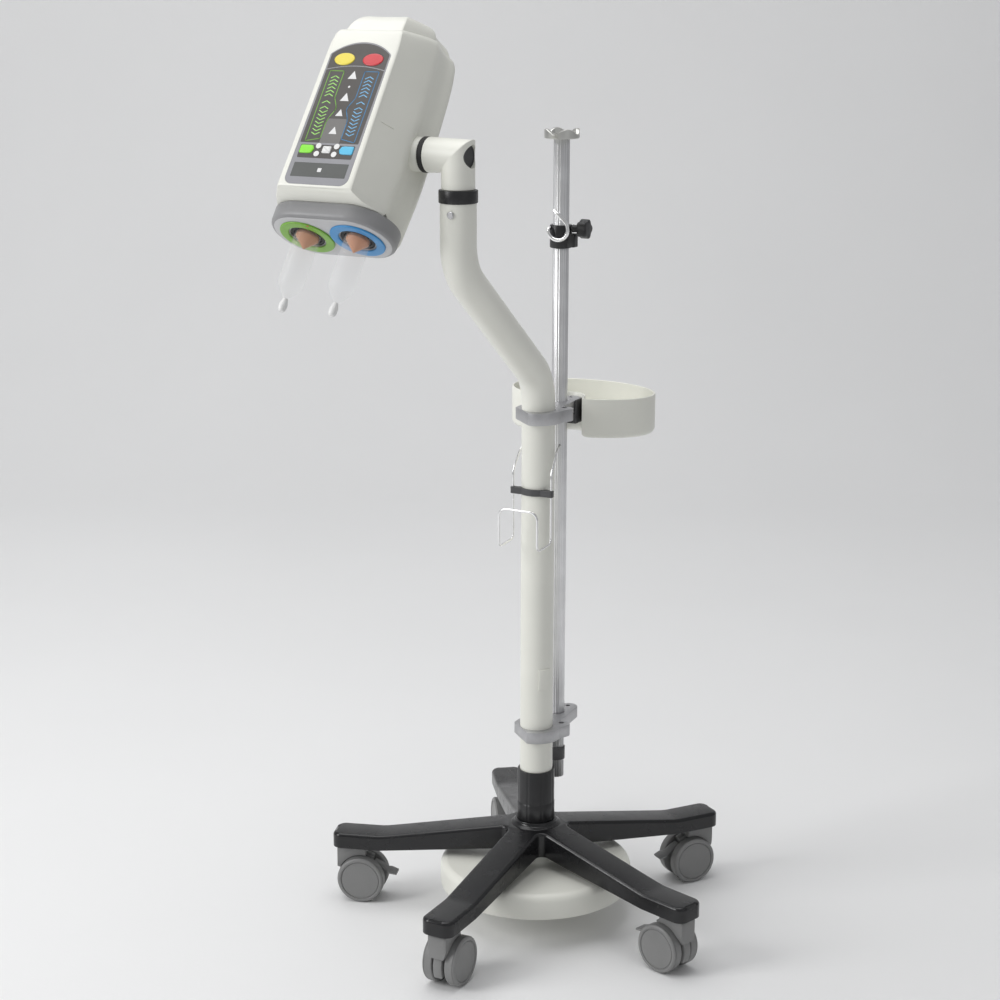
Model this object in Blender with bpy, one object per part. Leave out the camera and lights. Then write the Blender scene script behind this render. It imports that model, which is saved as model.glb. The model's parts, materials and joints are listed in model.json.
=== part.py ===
"""Dual syringe injector head on a five-star pedestal with an infusion pole, tray and bottle holder.

Metres, +Z up. The origin is the middle of the footprint on the floor. Front (the keypad side) is -Y.
Most pieces are drawn around the axis of the main tube and parented to an empty that carries it.
"""

import math

import bmesh
import bpy
from mathutils import Matrix, Vector

# ---------------------------------------------------------------- driving dimensions
GAP = 0.0003              # clearance kept between touching pieces
POLE_Y = 0.0656           # where the main tube's axis stands in the footprint

TUBE_R = 0.0253           # main tube
TUBE_WALL = 0.0025
TUBE_FOOT_Z = 0.1150
TUBE_TOP_Z = 1.1442
BEND_LOW_Z = 0.858        # corner points of the S-bend
BEND_HIGH_Z = 1.052
BEND_RADIUS = 0.075
HEAD_REACH = 0.2473       # how far the bend carries the tube forwards

STAR_ARMS = 5
STAR_FIRST_ANGLE = -90.0
TIP_RADIUS = 0.3028       # circle through the caster stems
ARM_HALF = 0.0256
ARM_END = 0.3255
ARM_CORNER = 0.015
WEB_RADIUS = 0.011
ARM_BOTTOM_Z = 0.0911
ARM_TIP_Z = 0.1150
ARM_HUB_Z = 0.1500
ARM_CREASE = 0.2470       # where the sloping arm levels out
ARM_ROUND = 0.0055
ARM_HUB_BOTTOM_Z = 0.1105
HUB_BOTTOM_Z = 0.1070
BOLT_TOP_Z = 0.1125
HUB_RING_R = 0.0318
HUB_RING_Z = 0.1580

SLEEVE_R = 0.0287
SLEEVE_TOP_Z = 0.2400
SLEEVE_STEP_Z = 0.1860

WEIGHT_R = 0.150
WEIGHT_Z = (0.0503, 0.0900)
WEIGHT_ROUND = 0.017

WHEEL_R = 0.0375
WHEEL_OUT = 0.0271
WHEEL_IN = 0.0105
CASTER_TRAIL = 0.0231
AXLE_R = 0.0042

IV_Y = 0.0713             # infusion pole axis behind the main tube
IV_R = 0.0121
IV_Z = (0.2032, 1.2087)
HOOK_PLATE_R = 0.0264
KNOB_Z = 1.0765
LOOP_Y = 0.0500            # plane of the pigtail hook
LOOP_TAIL = (-0.0112, 1.0768)

CLAMP_LOW_Z = (0.2920, 0.3105)
CLAMP_HIGH_Z = (0.7940, 0.8130)

TRAY_Y = 0.155
TRAY_A = 0.118
TRAY_B = 0.078
TRAY_Z = (0.7555, 0.8165)
TRAY_WALL = 0.003

COLLAR_Z = (1.1445, 1.1622)
ARM_AXIS_Z = 1.2072
HEAD_TILT = 36.8          # degrees that the head leans back at rest
HEAD_X = -0.150           # middle of the head along the arm
FACE_DEPTH = 0.0810       # arm axis to keypad face
SYRINGE_X = 0.0402        # half the distance between the two syringes
PLATE_Z = (-0.1385, -0.1145)
PLATE_R = 0.0540


# ---------------------------------------------------------------- helpers
def clear_scene():
    for item in list(bpy.data.objects):
        bpy.data.objects.remove(item)


def material(name, color, roughness, metallic=0.0, alpha=1.0):
    mat = bpy.data.materials.new(name)
    mat.use_nodes = True
    shader = mat.node_tree.nodes["Principled BSDF"]
    shader.inputs["Base Color"].default_value = (*color, 1.0)
    shader.inputs["Roughness"].default_value = roughness
    shader.inputs["Metallic"].default_value = metallic
    shader.inputs["Alpha"].default_value = alpha
    return mat


def empty(name, parent=None, matrix=None):
    item = bpy.data.objects.new(name, None)
    bpy.context.collection.objects.link(item)
    item.parent = parent
    item.matrix_local = matrix or Matrix()
    return item


def place(name, bm, mat, parent, origin=(0.0, 0.0, 0.0), cutter=False):
    """Turns a closed bmesh, drawn in its parent's frame, into an object with its origin at origin."""
    bmesh.ops.recalc_face_normals(bm, faces=bm.faces[:])
    bmesh.ops.translate(bm, verts=bm.verts[:], vec=-Vector(origin))
    mesh = bpy.data.meshes.new(name)
    bm.to_mesh(mesh)
    bm.free()
    if mat:
        mesh.materials.append(mat)
    mesh.shade_smooth()
    mesh.set_sharp_from_angle(angle=math.radians(32))
    item = bpy.data.objects.new(name, mesh)
    bpy.context.collection.objects.link(item)
    item.parent = parent
    item.location = origin
    if cutter:
        item.hide_render = True
        item.display_type = "WIRE"
    return item


def boolean(item, operand, operation="DIFFERENCE"):
    mod = item.modifiers.new(operation.lower(), "BOOLEAN")
    mod.operation = operation
    mod.object = operand
    mod.solver = "EXACT"
    return item


def cut(item, bm):
    """Takes the closed shapes in bm, drawn in the frame of the item's parent, out of the item."""
    return boolean(item, place(item.name + "_cut", bm, None, item.parent, cutter=True))


def add(item, bm):
    """Joins the closed shape in bm to the item."""
    label = item.name + "_add_" + str(len(item.modifiers))
    return boolean(item, place(label, bm, None, item.parent, cutter=True), "UNION")


def circle(radius, count, center=(0.0, 0.0), start=0.0):
    steps = [start + 2.0 * math.pi * i / count for i in range(count)]
    return [(center[0] + radius * math.cos(a), center[1] + radius * math.sin(a)) for a in steps]


def arc(center, radius, start, end, steps):
    """Points on an arc, angles in degrees, both ends included."""
    angles = [math.radians(start + (end - start) * i / steps) for i in range(steps + 1)]
    return [(center[0] + radius * math.cos(a), center[1] + radius * math.sin(a)) for a in angles]


def loft(bm, rings, closed=False, caps=True):
    """Joins rings of equal length with quads; caps both ends, or closes the rings into a loop."""
    rows = [[bm.verts.new(p) for p in ring] for ring in rings]
    count = len(rows[0])
    pairs = list(zip(rows, rows[1:]))
    if closed:
        pairs.append((rows[-1], rows[0]))
    for low, high in pairs:
        for i in range(count):
            j = (i + 1) % count
            bm.faces.new((low[i], low[j], high[j], high[i]))
    if caps and not closed:
        bm.faces.new(rows[0])
        bm.faces.new(rows[-1])
    return bm


def prism(outline, low, high, axis="Z", bm=None):
    """Extrudes a 2-D outline between two heights along an axis."""
    order = {
        "Z": lambda p, h: (p[0], p[1], h),
        "Y": lambda p, h: (p[0], h, p[1]),
        "X": lambda p, h: (h, p[0], p[1]),
    }[axis]
    rings = [[order(p, h) for p in outline] for h in (low, high)]
    return loft(bm or bmesh.new(), rings)


def turn(profile, count, matrix=None, closed=False, bm=None):
    """Turns a profile of (radius, height) points round +Z; a radius of 0 at an end makes a point."""
    bm = bm or bmesh.new()
    matrix = matrix or Matrix()
    rows = []
    for radius, height in profile:
        if radius < 1e-9:
            rows.append([bm.verts.new(matrix @ Vector((0.0, 0.0, height)))])
        else:
            ring = circle(radius, count)
            rows.append([bm.verts.new(matrix @ Vector((x, y, height))) for x, y in ring])
    pairs = list(zip(rows, rows[1:]))
    if closed:
        pairs.append((rows[-1], rows[0]))
    for low, high in pairs:
        for i in range(count):
            j = (i + 1) % count
            corners = [low[i % len(low)], low[j % len(low)], high[j % len(high)], high[i % len(high)]]
            corners = list(dict.fromkeys(corners))
            if len(corners) > 2:
                bm.faces.new(corners)
    if not closed:
        for row in (rows[0], rows[-1]):
            if len(row) > 1:
                bm.faces.new(row)
    return bm


def rod(radius, low, high, count=20, matrix=None, bm=None):
    return turn([(radius, low), (radius, high)], count, matrix, bm=bm)


def bushing(outer, inner, low, high, count=32, chamfer=0.0, matrix=None):
    profile = [
        (inner, low),
        (outer - chamfer, low),
        (outer, low + chamfer),
        (outer, high - chamfer),
        (outer - chamfer, high),
        (inner, high),
    ]
    if chamfer == 0.0:
        profile = [(inner, low), (outer, low), (outer, high), (inner, high)]
    return turn(profile, count, matrix, closed=True)


def along(axis, at=(0.0, 0.0, 0.0)):
    """A matrix whose +Z runs along the given direction from the given point."""
    return Matrix.Translation(at) @ Vector(axis).to_track_quat("Z", "Y").to_matrix().to_4x4()


def path_frames(points):
    """Rotation-minimising frames along a polyline."""
    points = [Vector(p) for p in points]
    tangents = []
    for i in range(len(points)):
        ahead = points[min(i + 1, len(points) - 1)] - points[i]
        behind = points[i] - points[max(i - 1, 0)]
        tangents.append((ahead.normalized() + behind.normalized()).normalized())
    side = tangents[0].orthogonal().normalized()
    frames = []
    for i, point in enumerate(points):
        if i:
            side = tangents[i - 1].rotation_difference(tangents[i]) @ side
        frames.append((point, side.copy(), tangents[i].cross(side)))
    return frames


def sweep_rings(points, radius, count):
    rings = []
    for point, side, other in path_frames(points):
        rings.append([point + side * x + other * y for x, y in circle(radius, count)])
    return rings


def wire(points, radius, count=8, bm=None):
    return loft(bm or bmesh.new(), sweep_rings(points, radius, count))


def rounded_path(corners, radii, steps=5):
    """A polyline through corner points whose inner corners are arcs of the given radii."""
    corners = [Vector(p) for p in corners]
    path = [corners[0]]
    for i in range(1, len(corners) - 1):
        back = (corners[i - 1] - corners[i]).normalized()
        ahead = (corners[i + 1] - corners[i]).normalized()
        half = back.angle(ahead) / 2.0
        reach = radii[i - 1] / math.tan(half)
        center = corners[i] + (back + ahead).normalized() * (radii[i - 1] / math.sin(half))
        start = corners[i] + back * reach - center
        turn_by = start.rotation_difference(corners[i] + ahead * reach - center)
        axis, angle = turn_by.to_axis_angle()
        for k in range(steps + 1):
            path.append(center + Matrix.Rotation(angle * k / steps, 3, axis) @ start)
    path.append(corners[-1])
    return path


def rounded_rect(half_x, half_y, radius, steps=4, center=(0.0, 0.0)):
    points = []
    for sx, sy, start in ((1, 1, 0), (-1, 1, 90), (-1, -1, 180), (1, -1, 270)):
        middle = (center[0] + sx * (half_x - radius), center[1] + sy * (half_y - radius))
        points += arc(middle, radius, start, start + 90, steps)
    return points


# ---------------------------------------------------------------- star base, sleeve and weight
def arm_top(u):
    """Height of the arm's top at a distance u from the middle."""
    if u >= ARM_CREASE:
        return ARM_TIP_Z
    share = (ARM_CREASE - u) / (ARM_CREASE - 0.040)
    return ARM_TIP_Z + (ARM_HUB_Z - ARM_TIP_Z) * min(share, 1.0)


def arm_bottom(u):
    """Height of the arm's underside at a distance u from the middle: it climbs towards the hub."""
    share = (ARM_CREASE - u) / (ARM_CREASE - 0.050)
    return ARM_BOTTOM_Z + (ARM_HUB_BOTTOM_Z - ARM_BOTTOM_Z) * min(max(share, 0.0), 1.0)


def arm_side():
    """Plan points (u, v) of one side of an arm, from the web to the tip, with the inset each has."""
    half_step = math.radians(180.0 / STAR_ARMS)
    reach = (ARM_HALF + WEB_RADIUS) / math.sin(half_step)
    center = (reach * math.cos(half_step), ARM_HALF + WEB_RADIUS)
    points = arc(center, WEB_RADIUS, 180.0 + 180.0 / STAR_ARMS, 270.0, 3)
    points += [(ARM_CREASE, ARM_HALF)]
    points += arc((ARM_END - ARM_CORNER, ARM_HALF - ARM_CORNER), ARM_CORNER, 90.0, 0.0, 3)
    return points


def inset(points, distance):
    """Moves the arm's side points inwards, square to the run of the outline."""
    moved = []
    for i, (u, v) in enumerate(points):
        if i == 0:
            out = Vector((-math.cos(math.radians(180.0 / STAR_ARMS)), -math.sin(math.radians(180.0 / STAR_ARMS))))
            moved.append((u + out.x * distance, v + out.y * distance))
            continue
        before = Vector(points[i - 1])
        after = Vector(points[min(i + 1, len(points) - 1)])
        run = (after - before).normalized()
        if i == len(points) - 1:
            run = Vector((0.0, -1.0))
        moved.append((u + run.y * distance, v - run.x * distance))
    return moved


def star_shell(bm):
    side = arm_side()
    inner = inset(side, ARM_ROUND)
    half = inset(side, ARM_ROUND * 0.3)
    for arm in range(STAR_ARMS):
        spin = Matrix.Rotation(math.radians(STAR_FIRST_ANGLE + 72.0 * arm), 4, "Z")
        rows = []
        for (u, v), (uh, vh), (ui, vi) in zip(side, half, inner):
            top = arm_top(ui)
            left = [
                (u, v, arm_bottom(u)),
                (u, v, top - ARM_ROUND),
                (uh, vh, top - ARM_ROUND * 0.3),
                (ui, vi, top),
            ]
            right = [(x, -y, z) for x, y, z in reversed(left)]
            rows.append([bm.verts.new(spin @ Vector(p)) for p in left + right])
        for low, high in zip(rows, rows[1:]):
            for i in range(8):
                j = (i + 1) % 8
                bm.faces.new((low[i], low[j], high[j], high[i]))
        bm.faces.new(rows[-1])
    bmesh.ops.remove_doubles(bm, verts=bm.verts[:], dist=0.00001)
    rim = [e for e in bm.edges if e.is_boundary]
    bmesh.ops.holes_fill(bm, edges=rim, sides=0)
    return bm


def build_star(root, mats):
    star = place("star_base", star_shell(bmesh.new()), mats["black_plastic"], root)
    hub = [(0.0, HUB_BOTTOM_Z), (0.038, HUB_BOTTOM_Z), (0.040, HUB_BOTTOM_Z + 0.002), (0.040, 0.1505),
           (0.0335, 0.1535), (HUB_RING_R, HUB_RING_Z), (0.0, HUB_RING_Z)]
    add(star, turn(hub, 32))
    holes = rod(TUBE_R + GAP, TUBE_FOOT_Z - GAP, 0.20, 24)
    rod(0.0050, 0.085, BOLT_TOP_Z + 0.0004, 12, bm=holes)
    hollow = [(0.078, 0.08), (0.268, 0.08), (0.268, 0.0985), (0.240, 0.1020), (0.078, 0.1240)]
    for arm in range(STAR_ARMS):
        angle = math.radians(STAR_FIRST_ANGLE + 72.0 * arm)
        spin = Matrix.Rotation(angle, 4, "Z")
        rod(0.0061, 0.085, 0.1093, 12, spin @ Matrix.Translation((TIP_RADIUS, 0.0, 0.0)), holes)
        recess = prism(hollow, 0.0055 - ARM_HALF, ARM_HALF - 0.0055, "Y")
        bmesh.ops.transform(recess, matrix=spin, verts=recess.verts[:])
        data = bpy.data.meshes.new("recess")
        recess.to_mesh(data)
        recess.free()
        holes.from_mesh(data)
        bpy.data.meshes.remove(data)
    cut(star, holes)


def build_sleeve(root, mats):
    count = 40
    rings = []
    for scale, height in ((1.018, HUB_RING_Z + GAP), (1.018, SLEEVE_STEP_Z), (1.0, SLEEVE_STEP_Z + 0.0006),
                          (1.0, SLEEVE_TOP_Z)):
        outer = []
        for i in range(count):
            flute = 0.0008 if i % 5 == 0 else 0.0
            angle = 2.0 * math.pi * i / count
            radius = SLEEVE_R * scale - flute
            outer.append((radius * math.cos(angle), radius * math.sin(angle), height))
        rings.append(outer)
    for height in (SLEEVE_TOP_Z, HUB_RING_Z + GAP):
        rings.append([(x, y, height) for x, y in circle(TUBE_R + GAP, count)])
    place("hub_sleeve", loft(bmesh.new(), rings, closed=True), mats["black_plastic"], root)


def build_weight(root, mats):
    low, high = WEIGHT_Z
    edge = arc((WEIGHT_R - WEIGHT_ROUND, high - WEIGHT_ROUND), WEIGHT_ROUND, 0.0, 90.0, 4)
    boss = [(0.0410, high), (0.0375, high + 0.0035), (0.0355, HUB_BOTTOM_Z - GAP), (0.0065, HUB_BOTTOM_Z - GAP)]
    profile = [(0.0065, low + 0.010), (0.013, low + 0.010), (0.013, low), (WEIGHT_R - 0.003, low),
               (WEIGHT_R, low + 0.003)] + edge + boss
    place("counterweight", turn(profile, 40, closed=True), mats["cream"], root)
    bolt = [(0.0, low + 0.0015), (0.0105, low + 0.0015), (0.0115, low + 0.0025), (0.0115, low + 0.0097),
            (0.0046, low + 0.0097), (0.0046, BOLT_TOP_Z), (0.0, BOLT_TOP_Z)]
    place("counterweight_bolt", turn(bolt, 20), mats["steel"], root)


# ---------------------------------------------------------------- casters
def wheel_profile():
    half = [(0.0, -WHEEL_OUT), (0.0342, -WHEEL_OUT), (WHEEL_R, -0.0238), (WHEEL_R, -WHEEL_IN), (AXLE_R, -WHEEL_IN)]
    return half + [(r, -h) for r, h in reversed(half)]


def caster_housing(frame, mats, name):
    """The body between the wheels, the fender above them and the stem, around the swivel axis."""
    axle = (-CASTER_TRAIL, WHEEL_R)
    body = arc(axle, 0.0392, -26.0, 118.0, 7) + arc(axle, 0.0110, 160.0, 300.0, 3)
    item = place(name, prism(body, -0.0070, 0.0070, "Y"), mats["caster_grey"], frame)
    top = ARM_BOTTOM_Z - 0.0022
    rings = []
    for side, foot, front in ((-0.0150, 40.0, 0.0160), (-0.0108, 22.0, 0.0172),
                              (0.0108, 22.0, 0.0172), (0.0150, 40.0, 0.0160)):
        under = arc(axle, 0.0388, foot, 100.0, 4)
        outline = under + [(-0.0270, top), (front - 0.004, top), (front, top - 0.004), (front, under[0][1] + 0.001)]
        rings.append([(x, side, z) for x, z in outline])
    add(item, loft(bmesh.new(), rings))
    add(item, rod(0.0058, 0.080, 0.1088, 12))
    cut(item, rod(AXLE_R + GAP, -0.03, 0.03, 12, along((0, 1, 0), (axle[0], 0.0, axle[1]))))


def caster_brake(frame, mats, name):
    sections = [
        (-0.0428, 0.0612, 0.0035, 0.0078),
        (-0.0540, 0.0562, 0.0030, 0.0078),
        (-0.0628, 0.0500, 0.0020, 0.0078),
        (-0.0668, 0.0485, 0.0018, 0.0125),
        (-0.0790, 0.0455, 0.0015, 0.0105),
    ]
    rings = [[(x, -w, z - h), (x, w, z - h), (x, w, z + h), (x, -w, z + h)] for x, z, h, w in sections]
    place(name, loft(bmesh.new(), rings), mats["caster_grey"], frame, (-0.0450, 0.0, 0.0600))


def build_casters(root, mats):
    for arm in range(STAR_ARMS):
        angle = math.radians(STAR_FIRST_ANGLE + 72.0 * arm)
        matrix = Matrix.Rotation(angle, 4, "Z") @ Matrix.Translation((TIP_RADIUS, 0.0, 0.0))
        label = "caster_" + str(arm + 1)
        frame = empty(label, root, matrix)
        caster_housing(frame, mats, label + "_housing")
        lowest = Matrix.Rotation(math.radians(90), 4, "Z")
        wheels = turn(wheel_profile(), 24, along((0, 1, 0), (-CASTER_TRAIL, 0.0, WHEEL_R)) @ lowest)
        place(label + "_wheels", wheels, mats["caster_grey"], frame, (-CASTER_TRAIL, 0.0, WHEEL_R))
        caster_brake(frame, mats, label + "_brake")


# ---------------------------------------------------------------- main tube and what it carries
def tube_path():
    corners = [(0.0, 0.0, TUBE_FOOT_Z), (0.0, 0.0, BEND_LOW_Z), (0.0, -HEAD_REACH, BEND_HIGH_Z),
               (0.0, -HEAD_REACH, TUBE_TOP_Z)]
    return rounded_path(corners, (BEND_RADIUS, BEND_RADIUS), 5)


def build_tube(root, mats):
    path = tube_path()
    outer = sweep_rings(path, TUBE_R, 24)
    bore = sweep_rings(path, TUBE_R - TUBE_WALL, 24)
    tube = loft(bmesh.new(), outer + bore[::-1], closed=True)
    place("main_tube", tube, mats["cream"], root)
    rings = []
    inner_r = TUBE_R + GAP
    for height, reach in ((0.3762, inner_r + 0.0020), (0.4090, inner_r + 0.0020)):
        middle = -90.0 + 55.0
        outer_arc = arc((0.0, 0.0), reach, middle - 22.0, middle + 22.0, 4)
        inner_arc = arc((0.0, 0.0), inner_r, middle + 22.0, middle - 22.0, 4)
        rings.append([(x, y, height) for x, y in outer_arc + inner_arc])
    place("tube_plug", loft(bmesh.new(), rings), mats["cream"], root)
    place("top_collar", shifted(bushing(0.0271, 0.0187, *COLLAR_Z, 32, 0.0008)), mats["black_plastic"], root)
    head = [(0.0, 0.0), (0.0052, 0.0), (0.0052, 0.0012), (0.0040, 0.0024), (0.0, 0.0024)]
    at = (0.002, -HEAD_REACH - TUBE_R - GAP, 1.130)
    place("collar_screw", turn(head, 16, along((0, -1, 0), at)), mats["steel"], root)


def shifted(bm):
    """Moves a shape from the main tube's foot axis to the head's pan axis."""
    bmesh.ops.translate(bm, verts=bm.verts[:], vec=(0.0, -HEAD_REACH, 0.0))
    return bm


def clamp_outline():
    front = [(-0.0370, -0.0030), (0.0020, -0.0376)]
    front += arc((0.0, 0.0), 0.0376, -78.0, 6.0, 6)
    lobe = arc((0.0345, 0.0242), 0.0105, -15.0, 110.0, 5)
    notch = [(0.0235, 0.0375), (0.0225, 0.0450)]
    rear = [(0.0232, 0.0560), (0.0218, 0.0780), (0.0200, 0.1010)]
    end = arc((0.0060, 0.1020), 0.0140, 0.0, 150.0, 5)
    back = [(-0.0165, 0.0950), (-0.0205, 0.0780), (-0.0215, 0.0600), (-0.0285, 0.0350), (-0.0372, 0.0120)]
    return front + lobe + notch + rear + end + back


def build_clamp(root, mats, name, heights):
    item = place(name, prism(clamp_outline(), *heights), mats["clamp_metal"], root)
    holes = rod(TUBE_R + GAP, heights[0] - 0.01, heights[1] + 0.01, 24)
    lift = heights[0] - 0.01, heights[1] + 0.01
    rod(IV_R + GAP, *lift, 16, Matrix.Translation((0.0, IV_Y, 0.0)), holes)
    rod(0.0042, *lift, 10, Matrix.Translation((0.0300, 0.0270, 0.0)), holes)
    rod(0.0036, *lift, 10, Matrix.Translation((0.0045, 0.1030, 0.0)), holes)
    cut(item, holes)
    screw = [(0.0, heights[0] - 0.0012), (0.0052, heights[0] - 0.0012), (0.0052, heights[0] - GAP),
             (0.0038, heights[0] - GAP), (0.0038, heights[1] - 0.0035), (0.0, heights[1] - 0.0035)]
    place(name + "_screw", turn(screw, 10, Matrix.Translation((0.0300, 0.0270, 0.0))), mats["steel"], root)


# ---------------------------------------------------------------- infusion pole
def build_iv_pole(root, mats):
    rings = []
    for height in IV_Z:
        ring = []
        for i in range(24):
            radius = IV_R if i % 2 else IV_R - 0.0005
            angle = math.radians(15.0 * i)
            ring.append((radius * math.cos(angle), IV_Y + radius * math.sin(angle), height))
        rings.append(ring)
    place("iv_pole", loft(bmesh.new(), rings), mats["aluminium"], root)
    at_pole = Matrix.Translation((0.0, IV_Y, 0.0))
    sleeve = bushing(IV_R + 0.0014, IV_R + GAP, 0.2321, 0.2525, 24, 0.0, at_pole)
    place("pole_end_sleeve", sleeve, mats["dark_plastic"], root)
    build_hook_plate(root, mats)


def build_hook_plate(root, mats):
    """A disc on top of the pole whose rim stands up in four rounded prongs."""
    count = 40
    low = IV_Z[1] + GAP
    rings = []
    shape = ((0.0262, low), (HOOK_PLATE_R, low + 0.0030), (HOOK_PLATE_R, None), (0.0215, None), (0.0185, low + 0.0050))
    for radius, height in shape:
        ring = []
        for i in range(count):
            angle = 2.0 * math.pi * i / count
            lift = 0.5 - 0.5 * math.cos(4.0 * angle)
            top = low + 0.0062 + 0.0082 * lift ** 0.7
            ring.append((radius * math.cos(angle), IV_Y + radius * math.sin(angle), height or top))
        rings.append(ring)
    place("hook_plate", loft(bmesh.new(), rings), mats["hook_metal"], root)


def hook_loop_path():
    """The pigtail: from its free tip round the right side, the bottom and the left, then into the collar."""
    center = (0.005, 1.0769)
    ring = arc(center, 0.0165, 35.0, -160.0, 13)
    path = [Vector((-0.0030, LOOP_Y, 1.1050)), Vector((0.0065, LOOP_Y, 1.0975))]
    path += [Vector((x, LOOP_Y, z)) for x, z in ring]
    corner = Vector((LOOP_TAIL[0], LOOP_Y, LOOP_TAIL[1]))
    end = Vector((LOOP_TAIL[0], 0.0603, LOOP_TAIL[1]))
    path += rounded_path([path[-1], corner, end], (0.0042,), 4)[1:]
    return path


def build_hook(root, mats):
    at_pole = Matrix.Translation((0.0, IV_Y, 0.0))
    collar = place("hook_collar", bushing(0.0168, IV_R + GAP, 1.0468, 1.0815, 24, 0.0010, at_pole),
                   mats["black_plastic"], root)
    ear = prism(rounded_rect(0.0085, 0.0075, 0.003, 2, (0.0175, IV_Y - 0.001)), 1.0490, 1.0690)
    add(collar, ear)
    socket = rod(0.0052, IV_R + 0.001, 0.0172, 12, along((1, 0, 0), (0.0, IV_Y, KNOB_Z)))
    add(collar, socket)
    cutter = rod(IV_R + GAP, 1.0, 1.12, 24, at_pole)
    rod(0.0036, 0.0, 0.0300, 10, along((1, 0, 0), (0.0150, IV_Y, KNOB_Z)), cutter)
    tail = along((0, 1, 0), (LOOP_TAIL[0], 0.0450, LOOP_TAIL[1]))
    cut(collar, cutter)
    cut(collar, rod(0.0030 + GAP, 0.0, 0.0158, 12, tail))
    place("hook_loop", wire(hook_loop_path(), 0.0030, 8), mats["chrome"], root)
    knob_axis = along((1, 0, 0), (0.0, IV_Y, KNOB_Z))
    stem = [(0.0, 0.0156), (0.0032, 0.0156), (0.0032, 0.0199), (0.0058, 0.0199), (0.0048, 0.0314), (0.0, 0.0314)]
    knob = place("hook_knob", turn(stem, 12, knob_axis), mats["black_plastic"], root, (0.0, IV_Y, KNOB_Z))
    lobes = []
    for i in range(30):
        angle = 2.0 * math.pi * i / 30
        radius = 0.0135 + 0.0015 * math.cos(5.0 * angle)
        lobes.append((radius * math.cos(angle), radius * math.sin(angle)))
    rings = []
    for scale, reach in ((0.86, 0.0312), (1.0, 0.0330), (1.0, 0.0440), (0.84, 0.0459)):
        rings.append([knob_axis @ Vector((x * scale, y * scale, reach)) for x, y in lobes])
    add(knob, loft(bmesh.new(), rings))


# ---------------------------------------------------------------- tray and bottle holder
def tray_outline(offset):
    """Kidney outline seen from above, moved inwards by offset; the notch goes round the pole."""
    wide, deep = TRAY_A - offset, TRAY_B - offset
    notch = 0.0255 + offset
    reach = 0.1215 + offset
    start = math.degrees(math.acos(notch * 1.32 / wide))
    outer = []
    for i in range(29):
        angle = math.radians(-start + (180.0 + 2.0 * start) * i / 28)
        outer.append((wide * math.cos(angle), TRAY_Y + deep * math.sin(angle)))
    back = arc((0.0, reach - notch + 0.0015), notch, 180.0, 0.0, 8)
    return outer + back


def tray_ring(offset, height):
    return [(x, y, height) for x, y in tray_outline(offset)]


def build_tray(root, mats):
    low, high = TRAY_Z
    round_edge = 0.008
    rings = [
        tray_ring(round_edge, low),
        tray_ring(round_edge * 0.3, low + round_edge * 0.3),
        tray_ring(0.0, low + round_edge),
        tray_ring(0.0, high),
        tray_ring(TRAY_WALL, high),
        tray_ring(TRAY_WALL, low + round_edge),
        tray_ring(TRAY_WALL + 0.005, low + TRAY_WALL),
    ]
    place("tray", loft(bmesh.new(), rings), mats["cream"], root)
    plate = [(0.0248, 0.0780), (0.0248, 0.0975)] + arc((0.0, 0.0970), 0.0238, 5.0, 175.0, 10)
    plate += [(-0.0248, 0.0975), (-0.0248, 0.0780)]
    bracket = place("tray_bracket", prism(plate, 0.7775, 0.8140), mats["dark_plastic"], root)
    room = rod(IV_R + GAP, 0.7, 0.85, 16, Matrix.Translation((0.0, IV_Y, 0.0)))
    lobe = [(-0.0226, 0.0700), (0.0226, 0.0700), (0.0226, 0.1300), (-0.0226, 0.1300)]
    cut(bracket, room)
    cut(bracket, prism(lobe, CLAMP_HIGH_Z[0] - GAP, 0.83))


def holder_path(side):
    """Half of the bottle holder: from the tube's side up, forwards over the top, down and to the front."""
    return [
        (side * 0.0272, 0.0180, 0.7570),
        (side * 0.0300, 0.0000, 0.7480),
        (side * 0.0320, -0.0200, 0.7200),
        (side * 0.0320, -0.0200, 0.6125),
        (side * 0.0320, -0.0660, 0.6100),
        (side * 0.0320, -0.0660, 0.6700),
    ]


def build_holder(root, mats):
    left = holder_path(-1.0)
    right = holder_path(1.0)[::-1]
    radii = (0.010, 0.030, 0.008, 0.009, 0.012, 0.012, 0.009, 0.008, 0.030, 0.010)
    path = rounded_path(left + right, radii, 3)
    place("wire_holder", wire(path, 0.0018, 6), mats["chrome"], root)
    inner = TUBE_R + GAP
    front = arc((0.0, 0.0), inner, -146.0, -34.0, 10)
    around = arc((0.0, 0.0), inner + 0.0034, -57.0, -123.0, 5)
    outer = [(0.0262, -0.0160), (0.0350, -0.0160), (0.0350, -0.0245), (0.0225, -0.0245)] + around
    outer += [(-0.0225, -0.0245), (-0.0350, -0.0245), (-0.0350, -0.0160), (-0.0262, -0.0160)]
    strap = place("wire_strap", prism(front + outer, 0.6840, 0.6940), mats["dark_plastic"], root)
    holes = bmesh.new()
    for side in (-1.0, 1.0):
        rod(0.0018 + GAP, 0.67, 0.71, 8, Matrix.Translation((side * 0.0320, -0.0200, 0.0)), holes)
    cut(strap, holes)


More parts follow.
